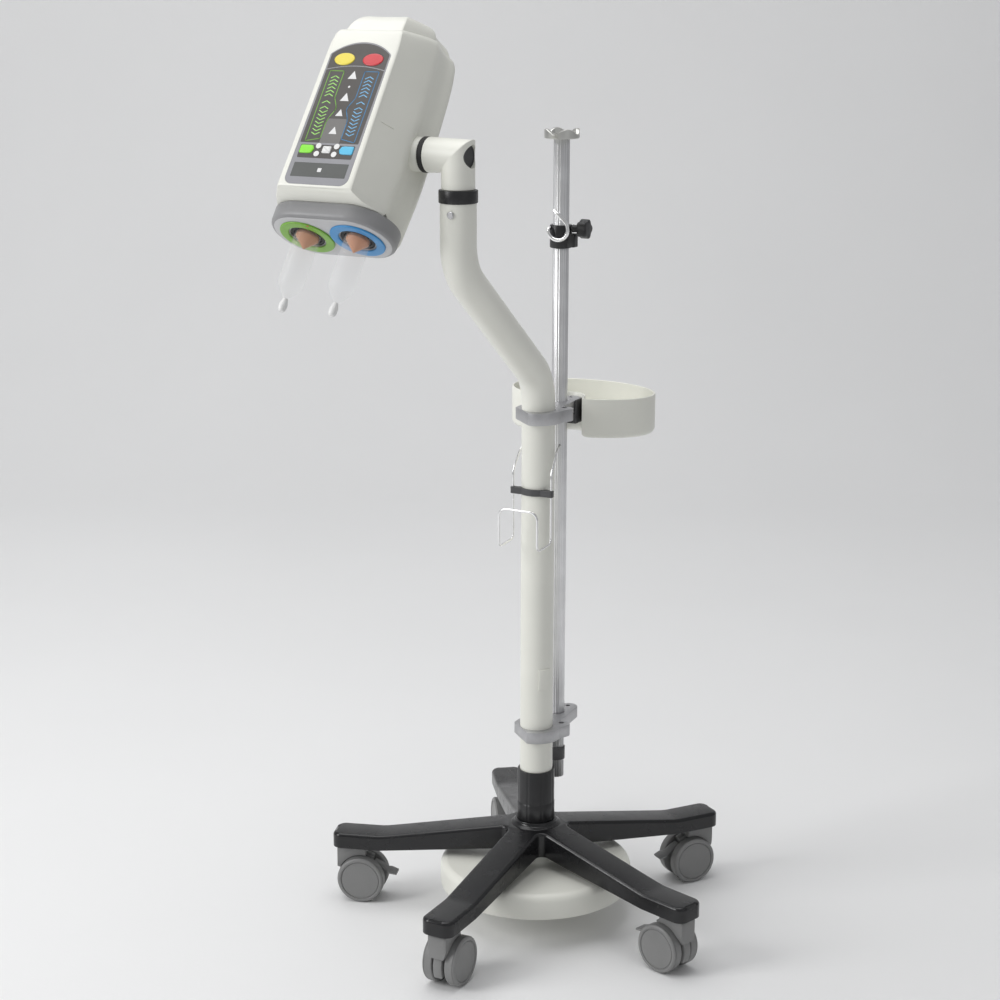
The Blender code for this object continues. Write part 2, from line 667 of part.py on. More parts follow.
# ---------------------------------------------------------------- elbow arm
def build_elbow(pan, mats):
    """A mitred elbow: down into the collar, and along -X to the tilt joint. Drawn around the pan axis."""
    count = 32
    radius = 0.0232
    low = COLLAR_Z[1] + GAP
    turned = [(math.cos(2.0 * math.pi * i / count), math.sin(2.0 * math.pi * i / count)) for i in range(count)]
    rings = [[(0.0184 * c, 0.0184 * s, 1.1080) for c, s in turned]]
    rings.append([(0.0184 * c, 0.0184 * s, low) for c, s in turned])
    rings.append([(radius * c, radius * s, low) for c, s in turned])
    rings.append([(radius * c, radius * s, ARM_AXIS_Z + radius * c) for c, s in turned])
    rings.append([(-0.0436, 0.0243 * s, ARM_AXIS_Z + 0.0243 * c) for c, s in turned])
    elbow = place("elbow_arm", loft(bmesh.new(), rings), mats["cream"], pan)
    cut(elbow, rod(0.0160, 0.0152, 0.05, 24, along((1, 0, 0), (0.0, 0.0, ARM_AXIS_Z))))
    cap = [(0.0, 0.0155), (0.0157, 0.0155), (0.0157, 0.0166), (0.0150, 0.0169), (0.0, 0.0169)]
    place("arm_end_cap", turn(cap, 24, along((1, 0, 0), (0.0, 0.0, ARM_AXIS_Z))), mats["black_plastic"], pan)
    ring = [(0.0, 0.0439), (0.0238, 0.0439), (0.0246, 0.0447), (0.0246, 0.0512), (0.0238, 0.0520), (0.0, 0.0520)]
    place("tilt_ring", turn(ring, 32, along((-1, 0, 0), (0.0, 0.0, ARM_AXIS_Z))), mats["black_plastic"], pan)


# ---------------------------------------------------------------- injector head
HEAD_FLARE = ((0.0, 0.990), (0.2, 1.030), (0.4, 1.040), (0.6, 1.016), (0.8, 0.982), (0.9, 0.950), (1.0, 0.915))


def head_section(share):
    """Half of the head's cross-section at a share of its height: (x, y) from front middle to back middle."""
    low, high = 1.0 - share, share
    front = 0.0590 * low + 0.0560 * high - 0.0045 * max(0.0, (share - 0.82) / 0.18) ** 2
    flare = interpolate(HEAD_FLARE, share)
    back = 0.0600 + 0.0180 * math.sin(math.pi * min(1.0, share * 1.15)) ** 0.8
    face = -FACE_DEPTH
    side = 0.0885 * flare
    valley = 0.0800 + 0.86 * (side - 0.0885)
    return [
        (0.0, face),
        (front * 0.5, face),
        (front - 0.0040, face),
        (front - 0.0008, face + 0.0012),
        (front + 0.0012, face + 0.0046),
        (front * 0.55 + side * 0.45 - 0.0005, -0.0560),
        (side - 0.0065, -0.0345),
        (side - 0.0035, -0.0225),
        (valley, -0.0060),
        (valley + 0.0010, 0.0120),
        (side, 0.0250),
        (side, 0.0283),
        (side - 0.0060, 0.0400),
        (side * 0.72, back * 0.86),
        (side * 0.38, back),
        (0.0, back * 1.01),
    ]


CROWN_STEPS = ((1.0, 0.0), (0.95, 0.36), (0.86, 0.68), (0.73, 0.88), (0.50, 0.98), (0.25, 1.0))


def head_top(y):
    """Height of the crowned top at a depth y."""
    points = ((-0.0810, 0.1500), (-0.0740, 0.1530), (-0.0390, 0.1655), (-0.0110, 0.1728), (0.0100, 0.1730),
              (0.0250, 0.1700), (0.0500, 0.1590), (0.0850, 0.1380))
    return interpolate(points, y)


def head_crown(y):
    """Height of the middle of the domed top at a depth y."""
    points = ((-0.0810, 0.1780), (-0.0650, 0.1880), (-0.0500, 0.1920), (-0.0200, 0.1970), (0.0100, 0.1960),
              (0.0300, 0.1880), (0.0600, 0.1690), (0.0850, 0.1520))
    return interpolate(points, y)


def head_bottom(y):
    """Height of the underside at a depth y: the front edge hangs as a lip."""
    points = ((-0.0810, -0.1070), (-0.0785, -0.1092), (-0.0620, -0.1138), (0.0300, -0.1142), (0.0480, -0.1300),
              (0.0850, -0.1320))
    return interpolate(points, y)


def interpolate(points, value):
    for (x0, z0), (x1, z1) in zip(points, points[1:]):
        if value <= x1:
            return z0 + (z1 - z0) * max(0.0, value - x0) / (x1 - x0)
    return points[-1][1]


def head_ring(share, shrink=0.0, drop=0.0, wall=0.0):
    """A full ring of the head; shrink pulls it in all round, drop lowers it, wall makes it an inner ring."""
    half = head_section(share)
    ring = []
    for x, y in half + [(-x, y) for x, y in half[-2:0:-1]]:
        low, high = head_bottom(y), head_top(y)
        height = low + (high - low) * share - drop
        length = math.hypot(x, y)
        pull = (shrink + wall) / max(length, 0.02)
        ring.append((HEAD_X + x * (1.0 - pull), y * (1.0 - pull), height))
    return ring


def crown_ring(reach, rise, wall):
    """A ring of the domed top, reach of the way out to the rim and rise of the way up to the crown."""
    ring = []
    for x, y, z in head_ring(1.0, shrink=0.0110, drop=wall, wall=wall):
        top = head_crown(y * reach) - wall
        ring.append((HEAD_X + (x - HEAD_X) * reach, y * reach, z + (top - z) * rise))
    return ring


def head_solid(wall=0.0):
    """The closed outer form of the head, or with a wall the form of the space inside it."""
    shares = (0.0, 0.20, 0.40, 0.60, 0.80, 0.95)
    rings = [head_ring(0.0, shrink=0.0040, wall=wall, drop=-wall)]
    if wall == 0.0:
        rings.append(head_ring(0.0, drop=-0.0030))
    rings += [head_ring(s, wall=wall) for s in shares[1:-1]]
    rings.append(head_ring(0.95, wall=wall, shrink=0.0006, drop=wall * 0.4))
    rings.append(head_ring(0.985, wall=wall, shrink=0.0040, drop=wall))
    rings += [crown_ring(reach, rise, wall) for reach, rise in CROWN_STEPS]
    bm = loft(bmesh.new(), rings, caps=False)
    bm.verts.ensure_lookup_table()
    count = len(rings[0])
    strip_cap(bm, bm.verts[:count])
    strip_cap(bm, bm.verts[-count:])
    return bm


def strip_cap(bm, row):
    """Closes a ring that is symmetric left to right with strips across it, so that it keeps its crown."""
    count = len(row)
    bm.faces.new((row[0], row[1], row[-1]))
    for i in range(1, count // 2 - 1):
        bm.faces.new((row[i], row[i + 1], row[count - i - 1], row[count - i]))
    middle = count // 2
    bm.faces.new((row[middle - 1], row[middle], row[middle + 1]))


def box(low, high, bm=None):
    outline = [(low[0], low[1]), (high[0], low[1]), (high[0], high[1]), (low[0], high[1])]
    return prism(outline, low[2], high[2], bm=bm)


def stadium(radius, inset_by=0.0, count=20):
    """Two half circles round the syringe axes, joined by straight runs."""
    r = radius - inset_by
    right = arc((HEAD_X + 0.040, 0.0), r, -90.0, 90.0, count // 2)
    left = arc((HEAD_X - 0.040, 0.0), r, 90.0, 270.0, count // 2)
    return right + left


PARTING_Y = 0.0282        # where the front and rear shells meet
PANEL_DEPTH = 0.0024
SHELL_WALL = 0.0042


def panel_outline(grow=0.0):
    """The keypad's outline on the face (x, z): straight sides, an arched top and round bottom corners."""
    bottom, top, crown = -0.1035 - grow, 0.1040, 0.1234 + grow
    low_half, top_half = 0.0499 + grow, 0.0479 + grow
    points = arc((low_half - 0.012, bottom + 0.012), 0.012, -90.0, -5.0, 4)
    radius = (top_half ** 2 + (crown - top) ** 2) / (2.0 * (crown - top))
    spread = math.degrees(math.asin(top_half / radius))
    points += arc((0.0, crown - radius), radius, 90.0 - spread, 90.0, 6)
    mirrored = [(-x, z) for x, z in reversed(points[:-1])]
    return [(HEAD_X + x, z) for x, z in points + mirrored]


def build_shells(head, mats):
    face = -FACE_DEPTH
    front = place("head_front_shell", head_solid(), mats["cream"], head)
    boss = [(0.0240, 0.0800), (0.0235, 0.0600), (0.0235, 0.0533), (0.0225, 0.0523), (0.0, 0.0523)]
    add(front, turn(boss, 32, along((-1, 0, 0))))
    cut(front, prism(panel_outline(GAP), face - 0.01, face + PANEL_DEPTH + GAP, "Y"))
    opening = stadium(0.0500)
    seat = stadium(PLATE_R + GAP)
    rings = [[(x, y, -0.20) for x, y in seat], [(x, y, PLATE_Z[1] + GAP) for x, y in seat],
             [(x, y, PLATE_Z[1] + GAP) for x, y in opening], [(x, y, -0.1080) for x, y in opening]]
    mouth = place("shell_mouth", loft(bmesh.new(), rings), None, head, cutter=True)
    inside = place("shell_inside", head_solid(SHELL_WALL), None, head, cutter=True)
    boolean(front, mouth)
    boolean(front, inside)
    rear_half = box((HEAD_X - 0.2, PARTING_Y, -0.3), (HEAD_X + 0.2, 0.2, 0.3))
    boolean(front, place("rear_half", rear_half, None, head, cutter=True))

    rear = place("head_rear_shell", head_solid(), mats["cream"], head)
    boolean(rear, mouth)
    boolean(rear, inside)
    front_half = box((HEAD_X - 0.2, -0.2, -0.3), (HEAD_X + 0.2, PARTING_Y + GAP, 0.3))
    boolean(rear, place("front_half", front_half, None, head, cutter=True))


def build_plate(head, mats):
    """The grey band with its end plate, the two coloured rings and what the syringes sit in."""
    low, high = PLATE_Z
    rings = []
    for pull, height in ((0.0065, low), (0.0020, low + 0.0017), (0.0, low + 0.0060), (0.0, high)):
        rings.append([(x, y, height) for x, y in stadium(PLATE_R, pull)])
    plate = place("syringe_plate", loft(bmesh.new(), rings), mats["band_grey"], head)
    holes = bmesh.new()
    for side in (-1.0, 1.0):
        at = Matrix.Translation((HEAD_X + side * SYRINGE_X, 0.0, 0.0))
        rod(0.0262, low - 0.01, high + 0.01, 24, at, holes)
    cut(plate, holes)


def build_syringes(head, mats):
    low = PLATE_Z[0]
    for label, color, side in (("left", "green", -1.0), ("right", "blue", 1.0)):
        x = HEAD_X + side * SYRINGE_X
        at = Matrix.Translation((x, 0.0, 0.0))
        ring = bushing(0.0396, 0.0266, low - 0.0026, low - GAP, 32, 0.0, at)
        place(color + "_ring", ring, mats[color + "_ring"], head)
        barrel = [(0.0177, low + 0.0060), (0.0248, low + 0.0060), (0.0248, low + 0.0035), (0.0187, low + 0.0030),
                  (0.0187, -0.2145), (0.0060, -0.2330), (0.0032, -0.2360), (0.0030, -0.2430),
                  (0.0019, -0.2430), (0.0021, -0.2350), (0.0048, -0.2322), (0.0177, -0.2137)]
        place("syringe_" + label, turn(barrel, 20, at, closed=True), mats["clear"], head, (x, 0.0, -0.1385))
        tip = [(0.0036, -0.2366), (0.0058, -0.2440), (0.0060, -0.2500), (0.0048, -0.2545), (0.0022, -0.2560),
               (0.0, -0.2560)]
        bore = [(0.0, -0.2437), (0.0033, -0.2437), (0.0033, -0.2366)]
        place("syringe_tip_" + label, turn(bore + tip, 12, at), mats["white"], head, (x, 0.0, -0.1385))
        plunger = [(0.0, -0.1590), (0.0165, -0.1415), (0.0165, -0.1360), (0.0120, -0.1340), (0.0095, -0.1330),
                   (0.0095, -0.0700), (0.0, -0.0700)]
        place("plunger_" + label, turn(plunger, 20, at), mats["copper"], head, (x, 0.0, -0.1385))
        drive = [(0.0105, -0.0900), (0.0225, -0.0900), (0.0240, -0.0880), (0.0240, 0.0100), (0.0180, 0.0140),
                 (0.0180, 0.0800), (0.0105, 0.0800)]
        place("drive_unit_" + label, turn(drive, 16, at, closed=True), mats["steel"], head)


def oval(half_x, half_z, at, count=20):
    return [(HEAD_X + at[0] + half_x * c, at[1] + half_z * s) for c, s in circle(1.0, count)]


def key_outline(side):
    """A coloured key whose inner end comes to a blunt point."""
    x = 0.031
    points = [(x - 0.0112, -0.0490), (x - 0.0085, -0.0545), (x - 0.0040, -0.0554), (x + 0.0096, -0.0554),
              (x + 0.0112, -0.0540), (x + 0.0112, -0.0440), (x + 0.0096, -0.0426), (x - 0.0040, -0.0426),
              (x - 0.0085, -0.0435)]
    return [(HEAD_X + side * px, pz) for px, pz in points]


def build_keypad(head, mats):
    face = -FACE_DEPTH
    shapes = {
        "button_yellow": (lambda g: oval(0.0160 + g, 0.0098 + g, (-0.0226, 0.0955)), "yellow"),
        "button_red": (lambda g: oval(0.0160 + g, 0.0098 + g, (0.0226, 0.0955)), "red"),
        "button_green": (lambda g: grown(key_outline(-1.0), g), "key_green"),
        "button_blue": (lambda g: grown(key_outline(1.0), g), "key_blue"),
        "button_white": (lambda g: rounded_rect(0.0067 + g, 0.0054 + g, 0.0018, 3, (HEAD_X, -0.0490)), "white"),
    }
    panel = place("keypad_panel", prism(panel_outline(), face, face + PANEL_DEPTH, "Y"), mats["panel"], head)
    holes = bmesh.new()
    for name, (shape, color) in shapes.items():
        prism(shape(GAP), face - 0.01, face + 0.02, "Y", holes)
        rings = []
        for grow, depth in ((-0.0008, face - 0.0011), (0.0, face - 0.0005), (0.0, face + 0.0014)):
            rings.append([(x, depth, z) for x, z in shape(grow)])
        place(name, loft(bmesh.new(), rings), mats[color], head)
    cut(panel, holes)


def grown(outline, distance):
    """Scales an outline about its middle so that it grows by about the distance on every side."""
    xs = [p[0] for p in outline]
    zs = [p[1] for p in outline]
    cx, cz = (min(xs) + max(xs)) / 2.0, (min(zs) + max(zs)) / 2.0
    kx = 1.0 + 2.0 * distance / (max(xs) - min(xs))
    kz = 1.0 + 2.0 * distance / (max(zs) - min(zs))
    return [(cx + (x - cx) * kx, cz + (z - cz) * kz) for x, z in outline]


def build_board(head, mats):
    face = -FACE_DEPTH
    board = box((HEAD_X - 0.042, face + 0.0120, -0.0900), (HEAD_X + 0.042, face + 0.0136, 0.1050))
    place("circuit_board", board, mats["board"], head)


# ---------------------------------------------------------------- assembly
def materials():
    return {
        "cream": material("cream_paint", (0.83, 0.83, 0.76), 0.35),
        "black_plastic": material("black_plastic", (0.025, 0.025, 0.026), 0.35),
        "dark_plastic": material("dark_grey_plastic", (0.10, 0.10, 0.105), 0.5),
        "caster_grey": material("caster_grey", (0.17, 0.17, 0.17), 0.55),
        "steel": material("steel", (0.55, 0.55, 0.56), 0.3, 1.0),
        "aluminium": material("fluted_aluminium", (0.52, 0.52, 0.54), 0.38, 1.0),
        "clamp_metal": material("clamp_aluminium", (0.45, 0.45, 0.46), 0.5, 0.8),
        "hook_metal": material("hook_metal", (0.50, 0.50, 0.48), 0.35, 1.0),
        "chrome": material("chrome", (0.80, 0.80, 0.80), 0.12, 1.0),
        "band_grey": material("band_grey", (0.28, 0.28, 0.29), 0.45),
        "green_ring": material("green_ring", (0.20, 0.42, 0.05), 0.4),
        "blue_ring": material("blue_ring", (0.05, 0.27, 0.58), 0.4),
        "copper": material("copper_piston", (0.42, 0.17, 0.07), 0.45, 0.2),
        "clear": material("clear_plastic", (0.85, 0.87, 0.88), 0.08, 0.0, 0.3),
        "white": material("white_plastic", (0.80, 0.80, 0.80), 0.4),
        "panel": material("keypad_film", (0.065, 0.058, 0.052), 0.35),
        "yellow": material("yellow_key", (0.75, 0.62, 0.07), 0.35),
        "red": material("red_key", (0.55, 0.05, 0.06), 0.35),
        "key_green": material("green_key", (0.25, 0.80, 0.03), 0.35),
        "key_blue": material("blue_key", (0.10, 0.50, 0.78), 0.35),
        "board": material("circuit_board", (0.03, 0.18, 0.07), 0.5),
    }


def main():
    clear_scene()
    mats = materials()
    root = empty("main_axis", None, Matrix.Translation((0.0, POLE_Y, 0.0)))
    build_star(root, mats)
    build_sleeve(root, mats)
    build_weight(root, mats)
    build_casters(root, mats)
    build_tube(root, mats)
    build_clamp(root, mats, "lower_clamp", CLAMP_LOW_Z)
    build_clamp(root, mats, "upper_clamp", CLAMP_HIGH_Z)
    build_iv_pole(root, mats)
    build_hook(root, mats)
    build_tray(root, mats)
    build_holder(root, mats)
    pan = empty("pan_axis", root, Matrix.Translation((0.0, -HEAD_REACH, 0.0)))
    build_elbow(pan, mats)
    lean = Matrix.Rotation(math.radians(-HEAD_TILT), 4, "X")
    head = empty("tilt_axis", pan, Matrix.Translation((0.0, 0.0, ARM_AXIS_Z)) @ lean)
    build_shells(head, mats)
    build_plate(head, mats)
    build_syringes(head, mats)
    build_keypad(head, mats)
    build_board(head, mats)


main()
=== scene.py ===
"""The looks of a dual syringe injector head on a wheeled pedestal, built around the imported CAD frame."""

import json
import math

import bmesh
import bpy
from mathutils import Matrix, Vector


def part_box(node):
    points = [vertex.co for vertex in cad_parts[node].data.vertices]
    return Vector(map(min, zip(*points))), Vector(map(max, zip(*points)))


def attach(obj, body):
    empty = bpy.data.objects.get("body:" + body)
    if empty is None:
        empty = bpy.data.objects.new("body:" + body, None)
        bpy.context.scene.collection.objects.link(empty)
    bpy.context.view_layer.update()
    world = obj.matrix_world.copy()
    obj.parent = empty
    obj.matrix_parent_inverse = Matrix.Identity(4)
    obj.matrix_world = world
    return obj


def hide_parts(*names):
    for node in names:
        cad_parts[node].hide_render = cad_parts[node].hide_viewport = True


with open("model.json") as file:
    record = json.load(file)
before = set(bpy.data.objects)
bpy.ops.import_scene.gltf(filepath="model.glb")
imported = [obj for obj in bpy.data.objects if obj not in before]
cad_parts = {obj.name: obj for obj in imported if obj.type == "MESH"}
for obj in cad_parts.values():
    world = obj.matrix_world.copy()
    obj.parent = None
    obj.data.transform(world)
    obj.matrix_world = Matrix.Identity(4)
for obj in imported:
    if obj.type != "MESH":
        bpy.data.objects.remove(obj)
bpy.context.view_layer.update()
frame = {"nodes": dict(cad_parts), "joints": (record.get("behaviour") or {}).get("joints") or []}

# ---------------------------------------------------------------- places taken from the frame
JOINTS = {joint["name"]: joint for joint in frame["joints"]}
TILT_AT = Vector(JOINTS["head_tilt"]["pos_m"])
PAN_AT = Vector(JOINTS["head_pan"]["pos_m"])
POLE_Y = sum(corner[1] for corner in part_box("counterweight")) / 2.0
HEAD_REACH = POLE_Y - PAN_AT.y
ARM_AXIS_Z = TILT_AT.z
SLIDE = Vector(JOINTS["plunger_left_slide"]["axis"])
HEAD_TILT = math.atan2(-SLIDE.y, -SLIDE.z)
MAIN = Matrix.Translation((0.0, POLE_Y, 0.0))
PAN = Matrix.Translation((0.0, PAN_AT.y, 0.0))
HEAD = Matrix.Translation((0.0, PAN_AT.y, ARM_AXIS_Z)) @ Matrix.Rotation(-HEAD_TILT, 4, "X")

# ---------------------------------------------------------------- sizes shared with the CAD
GAP = 0.0003
TUBE_R = 0.0253
TUBE_WALL = 0.0025
TUBE_FOOT_Z = 0.1150
TUBE_TOP_Z = 1.1442
BEND_LOW_Z = 0.858
BEND_HIGH_Z = 1.052
BEND_RADIUS = 0.075
STAR_ARMS = 5
STAR_FIRST_ANGLE = -90.0
TIP_RADIUS = 0.3028
ARM_HALF = 0.0256
ARM_END = 0.3255
ARM_CORNER = 0.015
WEB_RADIUS = 0.011
ARM_BOTTOM_Z = 0.0911
ARM_TIP_Z = 0.1150
ARM_HUB_Z = 0.1500
ARM_CREASE = 0.2470
ARM_ROUND = 0.0055
ARM_HUB_BOTTOM_Z = 0.1105
HUB_BOTTOM_Z = 0.1070
HUB_RING_R = 0.0318
HUB_RING_Z = 0.1580
SLEEVE_R = 0.0287
SLEEVE_TOP_Z = 0.2400
SLEEVE_STEP_Z = 0.1860
WEIGHT_R = 0.150
WEIGHT_Z = (0.0503, 0.0900)
WEIGHT_ROUND = 0.012
WHEEL_R = 0.0375
WHEEL_OUT = 0.0271
WHEEL_IN = 0.0105
CASTER_TRAIL = 0.0231
AXLE_R = 0.0042
IV_Y = 0.0713
IV_R = 0.0121
IV_Z = (0.2032, 1.2087)
HOOK_PLATE_R = 0.0264
KNOB_Z = 1.0765
LOOP_Y = 0.0500
LOOP_TAIL = (-0.0112, 1.0768)
CLAMP_LOW_Z = (0.2920, 0.3105)
CLAMP_HIGH_Z = (0.7940, 0.8130)
TRAY_Y = 0.155
TRAY_A = 0.118
TRAY_B = 0.078
TRAY_Z = (0.7555, 0.8165)
TRAY_WALL = 0.003
COLLAR_Z = (1.1445, 1.1622)
HEAD_X = -0.150
FACE = -0.0810
SYRINGE_X = 0.0402
PLATE_Z = (-0.1385, -0.1145)
PLATE_R = 0.0540
PARTING_Y = 0.0282
PANEL_DEPTH = 0.0024
SHELL_WALL = 0.0042
SEAT_R = 0.0262
RING_OUT_R = 0.0396
WIRE_R = 0.0018
WIRE_X = 0.0320
WIRE_Y = -0.0200
STRAP_Z = (0.6840, 0.6940)
LOOP_R = 0.0030
NOTCH_R = 0.0255
PRINT_DEPTH = 0.00018
PRINT_FOOT = 0.0002
GROUND_DEPTH = 0.00008
WINDOW_LOW = -0.0385


# ---------------------------------------------------------------- outline and mesh helpers
def circle(radius, count, center=(0.0, 0.0)):
    steps = [2.0 * math.pi * i / count for i in range(count)]
    return [(center[0] + radius * math.cos(a), center[1] + radius * math.sin(a)) for a in steps]


def arc(center, radius, start, end, steps):
    """Points on an arc, angles in degrees, both ends included."""
    angles = [math.radians(start + (end - start) * i / steps) for i in range(steps + 1)]
    return [(center[0] + radius * math.cos(a), center[1] + radius * math.sin(a)) for a in angles]


def rounded_rect(half_x, half_y, radius, steps=6, center=(0.0, 0.0)):
    points = []
    for sx, sy, start in ((1, 1, 0), (-1, 1, 90), (-1, -1, 180), (1, -1, 270)):
        middle = (center[0] + sx * (half_x - radius), center[1] + sy * (half_y - radius))
        points += arc(middle, radius, start, start + 90, steps)
    return points


def loft(bm, rings, closed=False, caps=True):
    """Joins rings of equal length with quads; caps both ends, or closes the rings into a loop."""
    rows = [[bm.verts.new(p) for p in ring] for ring in rings]
    count = len(rows[0])
    pairs = list(zip(rows, rows[1:]))
    if closed:
        pairs.append((rows[-1], rows[0]))
    for low, high in pairs:
        for i in range(count):
            j = (i + 1) % count
            bm.faces.new((low[i], low[j], high[j], high[i]))
    if caps and not closed:
        bm.faces.new(rows[0])
        bm.faces.new(rows[-1])
    return bm


def prism(outline, low, high, axis="Z", bm=None, edge=0.0):
    """Extrudes an outline between two heights, with small chamfered edges where edge is given."""
    order = {
        "Z": lambda p, h: (p[0], p[1], h),
        "Y": lambda p, h: (p[0], h, p[1]),
        "X": lambda p, h: (h, p[0], p[1]),
    }[axis]
    levels = [(outline, low), (outline, high)]
    if edge:
        small = offset(outline, -edge)
        mid = offset(outline, -edge * 0.3)
        levels = [(small, low), (mid, low + edge * 0.3), (outline, low + edge), (outline, high - edge),
                  (mid, high - edge * 0.3), (small, high)]
    return loft(bm or bmesh.new(), [[order(p, h) for p in points] for points, h in levels])


def offset(outline, distance):
    """Moves an outline outwards by a distance, square to its edges, whichever way round it runs."""
    count = len(outline)
    area = sum(outline[i - 1][0] * outline[i][1] - outline[i][0] * outline[i - 1][1] for i in range(count))
    sign = 1.0 if area > 0.0 else -1.0
    moved = []
    for i, point in enumerate(outline):
        before, after = Vector(outline[i - 1]), Vector(outline[(i + 1) % count])
        here = Vector(point)
        first, second = (here - before).normalized(), (after - here).normalized()
        normal = Vector((first.y + second.y, -first.x - second.x)).normalized()
        stretch = 1.0 / max(0.35, abs(normal.dot(Vector((first.y, -first.x)))))
        moved.append(tuple(here + normal * (distance * sign * stretch)))
    return moved


def turn(profile, count=48, matrix=None, closed=False, bm=None):
    """Turns a profile of (radius, height) points round +Z; a radius of 0 at an end makes a point."""
    bm = bm or bmesh.new()
    matrix = matrix or Matrix()
    rows = []
    for radius, height in profile:
        if radius < 1e-9:
            rows.append([bm.verts.new(matrix @ Vector((0.0, 0.0, height)))])
        else:
            rows.append([bm.verts.new(matrix @ Vector((x, y, height))) for x, y in circle(radius, count)])
    pairs = list(zip(rows, rows[1:]))
    if closed:
        pairs.append((rows[-1], rows[0]))
    for low, high in pairs:
        for i in range(count):
            j = (i + 1) % count
            corners = [low[i % len(low)], low[j % len(low)], high[j % len(high)], high[i % len(high)]]
            corners = list(dict.fromkeys(corners))
            if len(corners) > 2:
                bm.faces.new(corners)
    if not closed:
        for row in (rows[0], rows[-1]):
            if len(row) > 1:
                bm.faces.new(row)
    return bm


def joined(target, extra):
    """Adds one bmesh's faces to another."""
    mesh = bpy.data.meshes.new("extra")
    extra.to_mesh(mesh)
    extra.free()
    target.from_mesh(mesh)
    bpy.data.meshes.remove(mesh)


def softened(profile, radius, steps=3):
    """Rounds the corners of a profile or outline of (radius, height) points."""
    points = [profile[0]]
    for before, here, after in zip(profile, profile[1:], profile[2:]):
        b, h, a = Vector(before), Vector(here), Vector(after)
        reach = min(radius, (b - h).length * 0.45, (a - h).length * 0.45)
        start, end = h + (b - h).normalized() * reach, h + (a - h).normalized() * reach
        for k in range(steps + 1):
            t = k / steps
            points.append(tuple(start * (1 - t) ** 2 + h * (2 * t * (1 - t)) + end * t ** 2))
    return points + [profile[-1]]


def rod(radius, low, high, count=48, matrix=None, bm=None):
    return turn([(radius, low), (radius, high)], count, matrix, bm=bm)


def bushing(outer, inner, low, high, edge=0.0006, count=64, matrix=None):
    profile = [(inner, low), (outer - edge, low), (outer - edge * 0.3, low + edge * 0.3), (outer, low + edge),
               (outer, high - edge), (outer - edge * 0.3, high - edge * 0.3), (outer - edge, high), (inner,
                   high)]
    return turn(profile, count, matrix, closed=True)


def along(axis, at=(0.0, 0.0, 0.0)):
    """A matrix whose +Z runs along the given direction from the given point."""
    return Matrix.Translation(at) @ Vector(axis).to_track_quat("Z", "Y").to_matrix().to_4x4()


def sweep_rings(points, radius, count):
    """Rings square to a polyline, turned as little as possible from one to the next."""
    points = [Vector(p) for p in points]
    tangents = []
    for i, point in enumerate(points):
        ahead = points[min(i + 1, len(points) - 1)] - point
        behind = point - points[max(i - 1, 0)]
        tangents.append((ahead.normalized() + behind.normalized()).normalized())
    side = tangents[0].orthogonal().normalized()
    rings = []
    for i, point in enumerate(points):
        if i:
            side = tangents[i - 1].rotation_difference(tangents[i]) @ side
        other = tangents[i].cross(side)
        rings.append([point + side * x + other * y for x, y in circle(radius, count)])
    return rings


def wire(points, radius, count=20):
    """A round wire with slightly rounded ends."""
    points = [Vector(p) for p in points]
    ends = []
    for end, inner in ((points[0], points[1]), (points[-1], points[-2])):
        ends.append(end + (inner - end).normalized() * radius * 0.4)
    rings = sweep_rings([ends[0]] + points[1:-1] + [ends[1]], radius, count)
    first = [points[0] + (p - ends[0]) * 0.6 for p in rings[0]]
    last = [points[-1] + (p - ends[1]) * 0.6 for p in rings[-1]]
    return loft(bmesh.new(), [first] + rings + [last])


def rounded_path(corners, radii, steps=12):
    """A polyline through corner points whose inner corners are arcs of the given radii."""
    corners = [Vector(p) for p in corners]
    path = [corners[0]]
    for i in range(1, len(corners) - 1):
        back = (corners[i - 1] - corners[i]).normalized()
        ahead = (corners[i + 1] - corners[i]).normalized()
        half = back.angle(ahead) / 2.0
        reach = radii[i - 1] / math.tan(half)
        center = corners[i] + (back + ahead).normalized() * (radii[i - 1] / math.sin(half))
        start = corners[i] + back * reach - center
        turn_by = start.rotation_difference(corners[i] + ahead * reach - center)
        axis, angle = turn_by.to_axis_angle()
        for k in range(steps + 1):
            path.append(center + Matrix.Rotation(angle * k / steps, 3, axis) @ start)
    path.append(corners[-1])
    return path


def interpolate(points, value):
    for (x0, z0), (x1, z1) in zip(points, points[1:]):
        if value <= x1:
            return z0 + (z1 - z0) * max(0.0, value - x0) / (x1 - x0)
    return points[-1][1]


def spline(points, steps):
    """A Catmull-Rom curve through the points, steps pieces between each two."""
    points = [Vector(p) for p in points]
    out = []
    for i in range(len(points) - 1):
        p0, p1 = points[max(i - 1, 0)], points[i]
        p2, p3 = points[i + 1], points[min(i + 2, len(points) - 1)]
        for k in range(steps):
            t = k / steps
            out.append(0.5 * (2 * p1 + (p2 - p0) * t + (2 * p0 - 5 * p1 + 4 * p2 - p3) * t * t
                              + (3 * p1 - p0 - 3 * p2 + p3) * t ** 3))
    return out + [points[-1]]


def as_object(name, bm):
    bmesh.ops.recalc_face_normals(bm, faces=bm.faces[:])
    mesh = bpy.data.meshes.new(name)
    bm.to_mesh(mesh)
    bm.free()
    item = bpy.data.objects.new(name, mesh)
    bpy.context.collection.objects.link(item)
    return item


